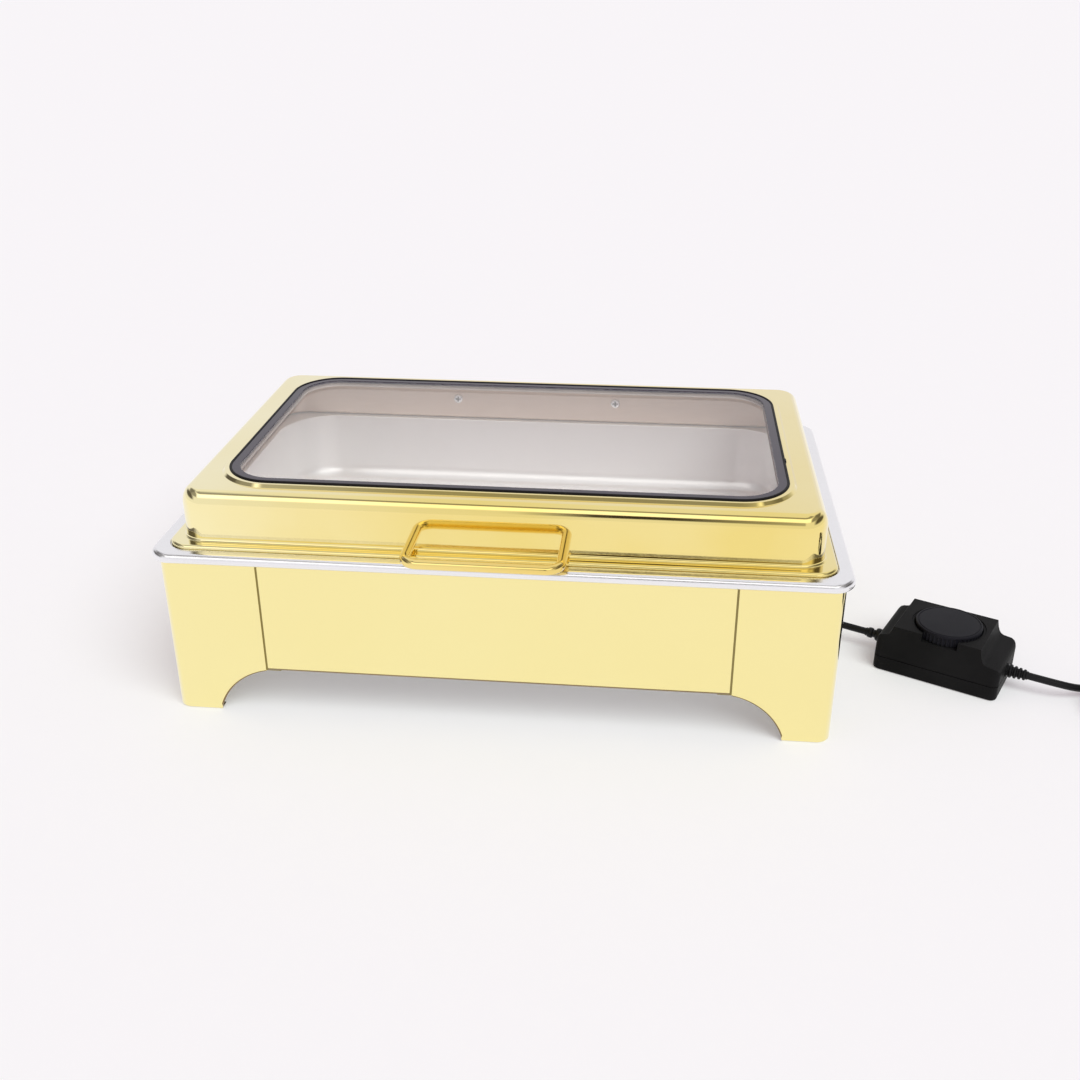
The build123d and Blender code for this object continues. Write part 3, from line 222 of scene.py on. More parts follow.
# Near-black steel for the drive recesses: painted shade.
SCREW_RECESS_SHADE = steel_finish(
    "screw_recess_painted_shade", (0.20, 0.19, 0.18), (0.12, 0.11, 0.10), rough=0.4, grain=300.0, stretch=(1, 1, 3)
)
BOLT_STEEL = steel_finish(
    "bolt_steel", (0.82, 0.82, 0.83), (0.62, 0.62, 0.64), rough=0.18, grain=300.0, stretch=(1, 1, 3)
)
PLATE_ALUMINIUM = steel_finish(
    "heater_aluminium", (0.80, 0.80, 0.81), (0.66, 0.66, 0.67), rough=0.34, grain=50.0, stretch=(10, 1, 1)
)
PIN_BRASS = steel_finish(
    "pin_brass", (0.86, 0.74, 0.46), (0.72, 0.58, 0.32), rough=0.16, grain=200.0, stretch=(1, 6, 1)
)
GASKET_RUBBER = moulded_finish(
    "gasket_rubber", (0.006, 0.005, 0.005), (0.012, 0.010, 0.010),
    rough=0.5, grain=700.0, relief=0.12, shine=0.15,
)
# Black print on the glass, tinted violet as a painted reflection of the sky.
BORDER_PRINT = moulded_finish(
    "window_border_print", (0.022, 0.014, 0.030), (0.036, 0.026, 0.046),
    rough=0.14, grain=1500.0, relief=0.02, shine=0.42,
)
BED_SILICONE = moulded_finish(
    "window_bed_silicone", (0.56, 0.50, 0.46), (0.62, 0.56, 0.52), rough=0.45, grain=500.0, relief=0.1
)
CASE_PLASTIC = moulded_finish(
    "case_plastic", (0.009, 0.009, 0.009), (0.018, 0.018, 0.0185),
    rough=0.46, grain=1500.0, relief=0.25, shine=0.03,
)
DIAL_PLASTIC = moulded_finish(
    "dial_plastic", (0.009, 0.009, 0.012), (0.016, 0.016, 0.020),
    rough=0.40, grain=1700.0, relief=0.18, shine=0.07,
)
CORD_SHEATH = moulded_finish(
    "cord_sheath", (0.004, 0.004, 0.0045), (0.010, 0.010, 0.011),
    rough=0.38, grain=900.0, relief=0.12, shine=0.2,
)
TIE_STRAP = moulded_finish(
    "tie_strap", (0.008, 0.008, 0.009), (0.022, 0.022, 0.024),
    rough=0.62, grain=1200.0, relief=0.5, shine=0.3,
)
INSULATOR = moulded_finish(
    "insulator", (0.70, 0.66, 0.56), (0.80, 0.76, 0.67), rough=0.48, grain=500.0, relief=0.2
)
WIRE_SLEEVE = moulded_finish(
    "wire_sleeve", (0.40, 0.10, 0.06), (0.52, 0.16, 0.09), rough=0.45, grain=600.0, relief=0.15
)
BOARD = moulded_finish(
    "board_laminate", (0.03, 0.14, 0.06), (0.05, 0.20, 0.09), rough=0.36, grain=400.0, relief=0.1
)
GLASS = glass_finish()


# Camera, at the photo's angle
SIDE_TURN = -0.1033
DOWN_TILT = 0.4507
ROLL = -0.002
EYE = Vector((122.34, -993.41, 572.59)) * MM
LENS = 39.854
ahead = Vector((sin(SIDE_TURN) * cos(DOWN_TILT), cos(SIDE_TURN) * cos(DOWN_TILT), -sin(DOWN_TILT)))
right = Vector((cos(SIDE_TURN), -sin(SIDE_TURN), 0))
above = right.cross(ahead)
right_rolled = right * cos(ROLL) + above * sin(ROLL)
above_rolled = above * cos(ROLL) - right * sin(ROLL)
bpy.ops.object.camera_add()
camera = bpy.context.object
camera.matrix_world = Matrix((right_rolled, above_rolled, -ahead)).transposed().to_4x4()
camera.location = EYE
camera.data.lens = LENS
camera.data.sensor_width = 36
camera.data.clip_start = 0.05
bpy.context.scene.camera = camera


# Modelling steps
def close_edit():
    """Back to object mode with nothing selected."""
    if bpy.context.mode != "OBJECT":
        bpy.ops.object.mode_set(mode="OBJECT")
    bpy.ops.object.select_all(action="DESELECT")


def pick(piece):
    """Selects a piece alone in object mode."""
    close_edit()
    piece.select_set(True)
    bpy.context.view_layer.objects.active = piece


def open_edit(piece):
    """Opens a piece alone in edit mode."""
    pick(piece)
    bpy.ops.object.mode_set(mode="EDIT")


def copy_by(piece, x, y):
    """Copies a piece, with a mesh of its own, to a place beside it."""
    pick(piece)
    bpy.ops.object.duplicate()
    twin = bpy.context.object
    twin.location = (x * MM, y * MM, 0)
    bpy.ops.object.transform_apply(location=True, rotation=True, scale=True)
    return twin


def begin(name):
    """Names the primitive just added, puts its place in its mesh and opens it."""
    piece = bpy.context.object
    piece.name = name
    piece.data.name = name
    bpy.ops.object.transform_apply(location=True, rotation=True, scale=True)
    bpy.ops.object.mode_set(mode="EDIT")
    bpy.ops.mesh.select_mode(type="FACE")
    bpy.ops.mesh.select_all(action="SELECT")
    return piece


def outline(name, length, width, corner, height, steps=CORNER_STEPS):
    """Level face with rounded corners, open and selected."""
    close_edit()
    bpy.ops.mesh.primitive_plane_add(size=1, location=(0, 0, height * MM))
    bpy.context.object.scale = (length * MM, width * MM, 1)
    piece = begin(name)
    bpy.ops.mesh.select_mode(type="VERT")
    bpy.ops.mesh.select_all(action="SELECT")
    bpy.ops.mesh.bevel(offset=corner * MM, segments=steps, affect="VERTICES", profile=0.5)
    bpy.ops.mesh.select_mode(type="FACE")
    bpy.ops.mesh.select_all(action="SELECT")
    return piece


def rise(height):
    """Draws the selected face straight up or down."""
    bpy.ops.mesh.extrude_region_move(TRANSFORM_OT_translate={"value": (0, 0, height * MM)})


def step_in(inward, up=0.0):
    """Steps the selected face inwards and up."""
    bpy.ops.mesh.inset(thickness=inward * MM, depth=up * MM, use_even_offset=True)


def round_over(radius, up=1, steps=6, tall=None):
    """Rounds from an upright wall into a level face, over a height of its own where one is given."""
    for k in range(steps):
        first, last = pi / 2 * k / steps, pi / 2 * (k + 1) / steps
        step_in(radius * (cos(first) - cos(last)), up * (tall or radius) * (sin(last) - sin(first)))


def round_up(radius, up=1, steps=5, tall=None):
    """Rounds from a level face into an upright wall, over a height of its own where one is given."""
    for k in range(steps):
        first, last = pi / 2 * k / steps, pi / 2 * (k + 1) / steps
        step_in(radius * (sin(last) - sin(first)), up * (tall or radius) * (cos(first) - cos(last)))


def pick_faces(piece, test):
    """Selects the faces whose middle, in millimetres, and normal pass a test."""
    bpy.ops.mesh.select_mode(type="FACE")
    bpy.ops.mesh.select_all(action="DESELECT")
    shape = bmesh.from_edit_mesh(piece.data)
    for face in shape.faces:
        face.select_set(test(face.calc_center_median() / MM, face.normal))
    bmesh.update_edit_mesh(piece.data)


def pick_edges(piece, test):
    """Selects the edges whose two ends, in millimetres, pass a test."""
    bpy.ops.mesh.select_mode(type="EDGE")
    bpy.ops.mesh.select_all(action="DESELECT")
    shape = bmesh.from_edit_mesh(piece.data)
    for edge in shape.edges:
        edge.select_set(test(edge, edge.verts[0].co / MM, edge.verts[1].co / MM))
    bmesh.update_edit_mesh(piece.data)


def round_edges(piece, radius, steps, test=lambda e, a, b: True):
    """Rounds the edges that pass a test."""
    pick_edges(piece, test)
    bpy.ops.mesh.bevel(offset=radius * MM, segments=steps)


def drop_faces(piece, test):
    """Deletes the faces that pass a test."""
    pick_faces(piece, test)
    bpy.ops.mesh.delete(type="FACE")


def drop_caps(piece):
    """Deletes the many-sided faces, which leaves a ring open at both ends."""
    shape = bmesh.from_edit_mesh(piece.data)
    bpy.ops.mesh.select_mode(type="FACE")
    bpy.ops.mesh.select_all(action="DESELECT")
    for face in shape.faces:
        face.select_set(len(face.verts) > 4)
    bmesh.update_edit_mesh(piece.data)
    bpy.ops.mesh.delete(type="FACE")


def merge(*parts):
    """Joins parts into the first one and opens it."""
    close_edit()
    for part in parts:
        part.select_set(True)
    bpy.context.view_layer.objects.active = parts[0]
    bpy.ops.object.join()
    bpy.ops.object.mode_set(mode="EDIT")
    return parts[0]


def bridge_at(piece, height):
    """Bridges the two open loops that lie at a height."""
    pick_edges(piece, lambda e, a, b: e.is_boundary and abs(a.z - height) < 0.01 and abs(b.z - height) < 0.01)
    bpy.ops.mesh.bridge_edge_loops()


def face_out(piece, upwards=False):
    """Merges doubled points and points every face outwards, or an open tray's faces upwards."""
    bpy.ops.mesh.select_mode(type="FACE")
    bpy.ops.mesh.select_all(action="SELECT")
    bpy.ops.mesh.remove_doubles(threshold=0.00001)
    bpy.ops.mesh.normals_make_consistent(inside=False)
    shape = bmesh.from_edit_mesh(piece.data)
    middle = sum((p.co for p in shape.verts), Vector()) / len(shape.verts)
    leaning = 0.0
    for face in shape.faces:
        way = Vector((0, 0, 1)) if upwards else face.calc_center_median() - middle
        leaning += face.normal.dot(way) * face.calc_area()
    if leaning < 0:
        bpy.ops.mesh.select_all(action="SELECT")
        bpy.ops.mesh.flip_normals()


def modify(piece, kind, **settings):
    """Adds a modifier and applies it."""
    pick(piece)
    made = piece.modifiers.new(kind.lower(), kind)
    for name, setting in settings.items():
        setattr(made, name, setting)
    bpy.ops.object.modifier_apply(modifier=made.name)


def cut(piece, cutter):
    """Cuts one piece with another, which is then removed."""
    modify(piece, "BOOLEAN", object=cutter, operation="DIFFERENCE", solver="EXACT")
    bpy.data.objects.remove(cutter)


def smooth(piece, angle=35):
    """Smooth shading that keeps flat faces flat and true edges sharp."""
    pick(piece)
    bpy.ops.object.shade_smooth_by_angle(angle=radians(angle))
    modify(piece, "WEIGHTED_NORMAL", keep_sharp=True, weight=80)


def keep(piece, body, finish, slot, *stands_for):
    """Gives a finished piece its material, its body and the CAD nodes that it stands for."""
    close_edit()
    if finish:
        piece.data.materials.append(finish)
    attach(piece, body)
    if stands_for:
        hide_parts(*stands_for)
    return piece


def paint(piece, finish, test):
    """Gives the faces that pass a test a finish of their own."""
    open_edit(piece)
    pick_faces(piece, test)
    piece.data.materials.append(finish)
    piece.active_material_index = len(piece.data.materials) - 1
    bpy.ops.object.material_slot_assign()
    close_edit()


def block(name, low, high):
    """Box between two corners, open and selected."""
    close_edit()
    middle = [(a + b) / 2 * MM for a, b in zip(low, high)]
    bpy.ops.mesh.primitive_cube_add(size=1, location=middle)
    bpy.context.object.scale = [(b - a) * MM for a, b in zip(low, high)]
    return begin(name)


def drum(name, middle, radius, length, axis="Z", sides=48):
    """Cylinder about an axis, open and selected."""
    close_edit()
    turn = {"X": (0, pi / 2, 0), "Y": (pi / 2, 0, 0), "Z": (0, 0, 0)}[axis]
    spot = [c * MM for c in middle]
    bpy.ops.mesh.primitive_cylinder_add(
        vertices=sides, radius=radius * MM, depth=length * MM, location=spot, rotation=turn
    )
    return begin(name)


# Sizes are in millimetres, and an outline is its length, its width and the radius of its corners
# Lid: lipped flange, domed wall and the raised bead round the window
LID_FLANGE = (535, 330, 18)
LID_FOOT = 145.5
LID_LIP = 2.9
LID_ROLL = 2.5
FLANGE_TOP = 150.9
LID_WALL = (521, 316, 22.5)
LID_WALL_RISE = 25.6
SHOULDER_ROUND = 9
SHOULDER_TALL = 14
LID_TOP = 193
LID_BEAD = (474, 280, 48)
BEAD_EDGE = (0.2, 0.1)
BEAD_SIDE = (2.1, 2.3)
BEAD_FLAT = 7.5
LID_SHEET = 1.0


def lid_shell():
    lid = outline("lid_dome", *LID_FLANGE, LID_FOOT)
    rise(LID_LIP)
    round_over(LID_ROLL)
    drop_caps(lid)
    wall = outline("lid_wall", *LID_WALL, FLANGE_TOP)
    round_up(LID_ROLL)
    rise(LID_WALL_RISE)
    round_over(SHOULDER_ROUND, steps=12, tall=SHOULDER_TALL)
    drop_caps(wall)
    bead = outline("lid_bead", *LID_BEAD, LID_TOP)
    step_in(*BEAD_EDGE)
    step_in(*BEAD_SIDE)
    step_in(*BEAD_EDGE)
    step_in(BEAD_FLAT)
    drop_caps(bead)
    merge(lid, wall, bead)
    bridge_at(lid, FLANGE_TOP)
    bridge_at(lid, LID_TOP)
    face_out(lid)
    close_edit()
    for finish in (GOLD_LID, LID_INSIDE):
        lid.data.materials.append(finish)
    modify(lid, "SOLIDIFY", thickness=LID_SHEET * MM, offset=-1, material_offset=1)
    smooth(lid)
    keep(lid, "lid", None, "gold_steel", "lid_shell")


# Window gasket: a black bead round the outside, a glossy black border and a pale bed under the glass
GASKET_BEAD = (462, 268, 42)
GASKET_FOOT = 192.5
GASKET_ROUND = 1.15
GASKET_DROP = 0.8
GASKET_JOINT = ((229.4, -51, 194.4), (231.6, -44, 196.9))
WINDOW_BORDER = (458, 264, 40)
BORDER_FOOT = 195.45
BORDER_WIDE = 6.6
WINDOW_BED = (460.4, 266.4, 41.2)
BED_FOOT = 190.3
BED_RIM = 6.3
BED_LEDGE = 2.4


def close_ring(ring, angle):
    """Closes a ring's open foot and finishes it."""
    drop_caps(ring)
    pick_edges(ring, lambda e, a, b: e.is_boundary)
    bpy.ops.mesh.bridge_edge_loops()
    face_out(ring)
    smooth(ring, angle)


def window_gasket():
    bead = outline("gasket_bead", *GASKET_BEAD, GASKET_FOOT)
    rise(3.05)
    round_over(GASKET_ROUND, steps=5)
    round_up(GASKET_ROUND, -1, 4, tall=GASKET_DROP)
    rise(-3.4)
    joint = block("gasket_joint", *GASKET_JOINT)
    round_edges(joint, 0.7, 3)
    open_edit(bead)
    close_ring(bead, 50)
    merge(bead, joint)
    smooth(bead, 50)
    keep(bead, "lid", GASKET_RUBBER, "gasket_rubber", "window_gasket")
    border = outline("window_border", *WINDOW_BORDER, BORDER_FOOT)
    rise(0.45)
    step_in(BORDER_WIDE)
    step_in(0.3, -0.1)
    step_in(0.2, -0.3)
    rise(-1.6)
    close_ring(border, 50)
    keep(border, "lid", BORDER_PRINT, "gasket_rubber")
    bed = outline("window_bed", *WINDOW_BED, BED_FOOT)
    rise(5.1)
    step_in(BED_RIM)
    rise(-4.0)
    step_in(BED_LEDGE)
    rise(-1.1)
    close_ring(bed, 40)
    keep(bed, "lid", BED_SILICONE, "gasket_rubber")


# Water pan: rolled rim, recessed seat and the tank below, with the weld studs under it
PAN_SHEET = 0.8
RIM = (560, 355, 19)
RIM_MIDDLE = 143.5
RIM_ROLL = 4.5
RIM_TOP = 148
SEAT = (538, 333, 19.5)
SEAT_DROP = 2.2
SEAT_FLOOR = 145
TANK = (514, 309, 44)
TANK_WALL = (5.8, -72)
TANK_CORNER = 12
STUD_X = 162
STUD_Y = 77
STUD_MIDDLE = 48.7
STUD_TIP = 38.3


def water_pan():
    pan = outline("water_pan_sheet", *RIM, RIM_MIDDLE)
    round_over(RIM_ROLL, steps=10)
    drop_caps(pan)
    under = outline("water_pan_roll", *RIM, RIM_MIDDLE)
    round_over(RIM_ROLL, -1, 10)
    drop_caps(under)
    seat = outline("water_pan_seat", *SEAT, RIM_TOP)
    round_up(0.8, -1, 4)
    rise(-SEAT_DROP)
    drop_caps(seat)
    tank = outline("water_pan_tank", *TANK, SEAT_FLOOR)
    round_up(1.0, -1, 4)
    step_in(*TANK_WALL)
    round_over(TANK_CORNER, -1, 8)
    merge(pan, under, seat, tank)
    bridge_at(pan, RIM_TOP)
    bridge_at(pan, SEAT_FLOOR)
    face_out(pan, upwards=True)
    modify(pan, "SOLIDIFY", thickness=PAN_SHEET * MM, offset=-1)
    stud = drum("weld_stud", (-STUD_X, -STUD_Y, STUD_MIDDLE), 2.5, 21.4, sides=24)
    round_edges(stud, 0.6, 2, lambda e, a, b: a.z < STUD_TIP and b.z < STUD_TIP)
    others = [copy_by(stud, x, y) for x, y in ((0, 2 * STUD_Y), (2 * STUD_X, 0), (2 * STUD_X, 2 * STUD_Y))]
    merge(pan, stud, *others)
    smooth(pan)
    keep(pan, "base", RIM_STEEL, "pan_steel", "water_pan")


# Food pan: full-size pan with a rolled rim and deep rounded corners
FOOD_RIM = (530, 325, 16)
FOOD_RIM_FOOT = 145
FOOD_RIM_LIP = 2.6
FOOD_RIM_ROLL = 2.0
FOOD_RIM_TOP = 149.6
FOOD_WELL = (508, 303, 53)
FOOD_WALL = (5.9, -47.2)
FOOD_CORNER = 16


def food_pan():
    pan = outline("food_pan_sheet", *FOOD_RIM, FOOD_RIM_FOOT)
    rise(FOOD_RIM_LIP)
    round_over(FOOD_RIM_ROLL)
    drop_caps(pan)
    well = outline("food_pan_well", *FOOD_WELL, FOOD_RIM_TOP)
    round_up(1.0, -1, 4)
    step_in(*FOOD_WALL)
    round_over(FOOD_CORNER, -1, 12)
    merge(pan, well)
    bridge_at(pan, FOOD_RIM_TOP)
    face_out(pan, upwards=True)
    modify(pan, "SOLIDIFY", thickness=PAN_SHEET * MM, offset=-1)
    smooth(pan)
    keep(pan, "base", PAN_STEEL, "pan_steel", "food_pan")


# Base: folded end frames with feet and arches, and the panels between them
BASE = (548, 343, 12)
BASE_TOP = 147.2
BASE_FACE = 171.5
FRAME_SHEET = 1.5
FOOT_FOLD = 1.6
FOOT_FLANGE = 7.4
SEAM_LEFT = -191.6
SEAM_RIGHT = 190.8
SEAM_GAP = 0.9
ARCH_RADIUS = 55
ARCH_ALONG = 181.9
ARCH_LOW = -14.2
ARCH_EDGE = 1.4
SIDE_ARCH = ((-400, -132, -40), (400, 132, 40))
SIDE_ARCH_ROUND = 39.99
PANEL_SHEET = 1.2
PANEL_FOOT = 40
PANEL_FOLD = 4.0
PANEL_FLANGE_BACK = 161.5
LAP_OUTER = -208.1
LAP_INNER = -180.1
LAP_APART = 388.2


def end_frame(name, side, node):
    sheet = outline(name, *BASE, BASE_TOP, 16)
    rise(FOOT_FOLD - BASE_TOP)
    round_over(FOOT_FOLD, -1, 4)
    step_in(FOOT_FLANGE)
    drop_caps(sheet)
    face_out(sheet)
    modify(sheet, "SOLIDIFY", thickness=FRAME_SHEET * MM, offset=-1)
    seam = SEAM_LEFT - SEAM_GAP if side < 0 else SEAM_RIGHT + SEAM_GAP
    inner = sorted((seam, -side * 400))
    cut(sheet, block("frame_cut", (inner[0], -300, -50), (inner[1], 300, 300)))
    cut(sheet, drum("front_arch", (side * ARCH_ALONG, 0, ARCH_LOW), ARCH_RADIUS, 600, "Y", 160))

    def from_arch(p):
        return hypot(p.x - side * ARCH_ALONG, p.z - ARCH_LOW) - ARCH_RADIUS

    def on_edge(p):
        return abs(from_arch(p)) < 0.1 and abs(abs(p.y) - BASE_FACE) < 0.05 and p.z > 1.7

    open_edit(sheet)
    round_edges(sheet, ARCH_EDGE, 5, lambda e, a, b: on_edge(a) and on_edge(b))
    side_arch = block("side_arch", *SIDE_ARCH)
    round_edges(side_arch, SIDE_ARCH_ROUND, 20, lambda e, a, b: abs(a.x - b.x) > 1)
    cut(sheet, side_arch)
    reach = sorted((side * 273.2, side * 264))
    hem = block("side_hem", (reach[0], -92, PANEL_FOOT), (reach[1], 92, 41.2))
    merge(sheet, hem)
    smooth(sheet, 30)
    sheet.data.materials.append(GOLD)
    # The arch's rounded front edge gets dark gold, a painted reflection of the shade under the base.
    paint(sheet, GOLD_EDGE_SHADE, lambda p, n: from_arch(p) < 1.5 and abs(p.y) > 160)
    keep(sheet, "base", None, "gold_steel", node)


def long_panel(name, side, node):
    depth = sorted((side * BASE_FACE, side * PANEL_FLANGE_BACK))
    ends = (SEAM_LEFT + SEAM_GAP, SEAM_RIGHT - SEAM_GAP)
    sheet = block(name, (ends[0], depth[0], PANEL_FOOT), (ends[1], depth[1], BASE_TOP))
    drop_faces(sheet, lambda p, n: abs(n.x) > 0.5 or n.z > 0.5 or n.y * side < -0.5)
    round_edges(sheet, PANEL_FOLD, 8, lambda e, a, b: not e.is_boundary)
    face_out(sheet)
    modify(sheet, "SOLIDIFY", thickness=PANEL_SHEET * MM, offset=-1)
    smooth(sheet, 30)
    sheet.data.materials.append(GOLD)
    # The downward faces of the bottom fold get dark gold, a painted reflection of the shade under the base.
    paint(sheet, GOLD_EDGE_SHADE, lambda p, n: n.z < -0.15 and p.z < PANEL_FOOT + 4.2)
    keep(sheet, "base", None, "gold_steel", node)
    # Laps behind the seam gaps, dark gold as painted shade so that the seams read as dark lines.
    behind = sorted((side * 170.3, side * 169.1))
    lap = block(name + "_laps", (LAP_OUTER, behind[0], 40.4), (LAP_INNER, behind[1], 137.2))
    round_edges(lap, 0.25, 2)
    merge(lap, copy_by(lap, LAP_APART, 0))
    smooth(lap, 30)
    keep(lap, "base", GOLD_SEAM_SHADE, "gold_steel")


# Lid handle: a rod bent twice
ROD_RADIUS = 4
HANDLE_LEFT = -67.5
HANDLE_RIGHT = 54.5
HANDLE_HEIGHT = 157.5
HANDLE_BACK = -155.4
HANDLE_LEG = 24.6
HANDLE_BEND_Y = -180
HANDLE_BENDS_X = (-55.5, 42.5)


def lid_handle():
    close_edit()
    bpy.ops.mesh.primitive_circle_add(
        vertices=32,
        radius=ROD_RADIUS * MM,
        fill_type="NOTHING",
        location=(HANDLE_LEFT * MM, HANDLE_BACK * MM, HANDLE_HEIGHT * MM),
        rotation=(pi / 2, 0, 0),
    )
    rod = begin("lid_handle_rod")
    bpy.ops.mesh.select_mode(type="EDGE")
    bpy.ops.mesh.select_all(action="SELECT")

    def run(x, y):
        bpy.ops.mesh.extrude_region_move(TRANSFORM_OT_translate={"value": (x * MM, y * MM, 0)})

    def bend(x):
        centre = (x * MM, HANDLE_BEND_Y * MM, HANDLE_HEIGHT * MM)
        bpy.ops.mesh.spin(steps=10, angle=pi / 2, center=centre, axis=(0, 0, -1), use_auto_merge=False)

    run(0, -HANDLE_LEG)
    bend(HANDLE_BENDS_X[0])
    run(HANDLE_BENDS_X[1] - HANDLE_BENDS_X[0], 0)
    bend(HANDLE_BENDS_X[1])
    run(0, HANDLE_LEG)
    face_out(rod)
    smooth(rod, 60)
    keep(rod, "lid", GOLD_ROD, "gold_steel", "lid_handle")


# Screws with domed heads and a cross drive
HEAD_RADIUS = 4.6
HEAD_TALL = 2.6
HEAD_ROUND = 1.7
DRIVE_LONG = 2.7
DRIVE_WIDE = 0.7
SHANK_RADIUS = 2.0


def domed_screw(name, x, y, z, inward, length):
    """Screw along Y: its head stands on the wall, its shank runs the other way."""
    crown = y - inward * HEAD_TALL
    head = drum(name, (x, y - inward * HEAD_TALL / 2, z), HEAD_RADIUS, HEAD_TALL, "Y", 32)
    round_edges(head, HEAD_ROUND, 5, lambda e, a, b: max(abs(a.y - crown), abs(b.y - crown)) < 0.1)
    for wide, tall in ((DRIVE_LONG, DRIVE_WIDE), (DRIVE_WIDE, DRIVE_LONG)):
        deep = y - inward * 2.0
        cut(head, block("drive_slot", (x - wide, deep - 1, z - tall), (x + wide, deep + 1, z + tall)))
    shank = drum("shank", (x, y + inward * length / 2, z), SHANK_RADIUS, length, "Y", 24)
    return merge(head, shank)


def screw_pair(name, left, right, y, z, inward, length, node):
    """Two like screws in the lid, side by side."""
    screws = domed_screw(name, left, y, z, inward, length)
    merge(screws, copy_by(screws, right - left, 0))
    smooth(screws, 40)
    screws.data.materials.append(SCREW_ZINC)

    def in_drive(p):
        beside = min(hypot(p.x - x, p.z - z) for x in (left, right))
        return beside < DRIVE_LONG + 0.1 and abs(p.y - y + inward) < 0.9

    # The faces in the cross drives get painted shade.
    paint(screws, SCREW_RECESS_SHADE, lambda p, n: in_drive(p))
    keep(screws, "lid", None, "fastener_steel", node)


# Inline controller: shaped lying along X, then turned into place
TABLE_PLACE = Vector((387, -43, 0)) * MM
TABLE_TURN = radians(-26.5)
ALONG = Vector((cos(TABLE_TURN), sin(TABLE_TURN), 0))
CASE = (108, 66, 6)
CASE_STEPS = 8
LOWER_TOP = 13.1
LOWER_EDGE = 1.5
WELL_X = 37
WELL_Y = 23.5


def lay_down(piece):
    """Turns a controller piece into its place on the table."""
    pick(piece)
    piece.rotation_euler = (0, 0, TABLE_TURN)
    piece.location = TABLE_PLACE
    bpy.ops.object.transform_apply(location=True, rotation=True, scale=True)


def lower_case():
    case = outline("controller_lower_shell", *CASE, LOWER_TOP, CASE_STEPS)
    rise(LOWER_EDGE - LOWER_TOP)
    round_over(LOWER_EDGE, -1, 4)
    pick_faces(case, lambda p, n: p.z > LOWER_TOP - 0.1)
    step_in(0.7)
    rise(0.5)
    face_out(case)
    for x in (-WELL_X, WELL_X):
        for y in (-WELL_Y, WELL_Y):
            cut(case, drum("screw_well", (x, y, 0), 3.0, 5.0, sides=32))
    lay_down(case)
    smooth(case, 30)
    keep(case, "base", CASE_PLASTIC, "black_plastic", "controller_lower_case")


UPPER_FOOT = 13.9
UPPER_TALL = 30.6
FRONT_LEAN = 0.11
REAR_LEAN = 0.03
LEFT_SHOULDER = (
    (-54, 24), (-53.6, 28), (-52.7, 31.3), (-51, 33.6), (-48.6, 34.8),
    (-46, 35.3), (-44, 36), (-42.6, 37.7), (-41.2, 40.6), (-40, 44.5),
)
RIGHT_SHOULDER = (
    (35, 44.5), (35.6, 41), (36.4, 37.6), (37.5, 34.6), (39.2, 32.2), (41.5, 31),
    (45, 30.6), (48.5, 30.2), (51.3, 29), (53, 27), (54, 24),
)
TOP_LINE = LEFT_SHOULDER + RIGHT_SHOULDER
THUMB_NOTCH = ((-15.5, -50, 37.1), (15.5, -10, 60))


def upper_case():
    """Raised middle with hollowed shoulders, low rounded ends, a well for the dial and a thumb notch."""
    case = outline("controller_upper_shell", *CASE, UPPER_FOOT, CASE_STEPS)
    rise(UPPER_TALL)
    for x, height in TOP_LINE[1:-1]:
        bpy.ops.mesh.select_all(action="SELECT")
        bpy.ops.mesh.bisect(plane_co=(x * MM, 0, 0), plane_no=(1, 0, 0))
    shape = bmesh.from_edit_mesh(case.data)
    for point in shape.verts:
        if point.co.z > 40 * MM:
            spot = point.co.x / MM
            for (first, low), (last, high) in zip(TOP_LINE, TOP_LINE[1:]):
                if first - 0.01 <= spot <= last + 0.01:
                    height = low + (high - low) * (spot - first) / (last - first)
            point.co.z = height * MM
            lean = FRONT_LEAN if point.co.y < 0 else REAR_LEAN
            point.co.y *= 1 - lean * (height - UPPER_FOOT) / UPPER_TALL
    bmesh.update_edit_mesh(case.data)
    face_out(case)
    cut(case, drum("dial_ring", (0, 0, 53.6), 31.6, 20, sides=96))
    cut(case, drum("dial_well", (0, 0, 47.1), 29.3, 20, sides=96))
    cut(case, block("thumb_notch", *THUMB_NOTCH))
    sharp = {"limit_method": "ANGLE", "angle_limit": radians(28), "harden_normals": False}
    modify(case, "BEVEL", width=0.9 * MM, segments=3, **sharp)
    lay_down(case)
    smooth(case, 40)
    keep(case, "base", CASE_PLASTIC, "black_plastic", "controller_cover")


DIAL_RADIUS = 28.5
DIAL_FOOT = 37.5
DIAL_SIDES = 192
RIB_SIDES = 4
RIB_DEPTH = 0.97


def dial():
    """Wide dial: ribbed edge, rounded shoulder, a ring groove and a slightly crowned top."""
    close_edit()
    bpy.ops.mesh.primitive_circle_add(
        vertices=DIAL_SIDES, radius=DIAL_RADIUS * MM, fill_type="NGON", location=(0, 0, DIAL_FOOT * MM)
    )
    knob = begin("dial_knob")
    for height in (7.3, 0.4, 0.8):
        rise(height)
    shape = bmesh.from_edit_mesh(knob.data)
    for point in shape.verts:
        turn = round(point.co.xy.angle_signed(Vector((1, 0))) / (2 * pi) * DIAL_SIDES) % RIB_SIDES
        if turn < RIB_SIDES / 2 and point.co.z < 45 * MM:
            point.co.x *= RIB_DEPTH
            point.co.y *= RIB_DEPTH
    bmesh.update_edit_mesh(knob.data)
    pick_faces(knob, lambda p, n: p.z > 45.9 and abs(n.z) > 0.9)
    round_over(1.2, steps=4)
    for inward, up in ((0.5, 0), (0.2, -0.5), (0.6, 0), (0.2, 0.5), (9, 0.15), (8, 0.1)):
        step_in(inward, up)
    face_out(knob)
    lay_down(knob)
    smooth(knob, 40)
    keep(knob, "dial", DIAL_PLASTIC, "black_plastic", "controller_dial")


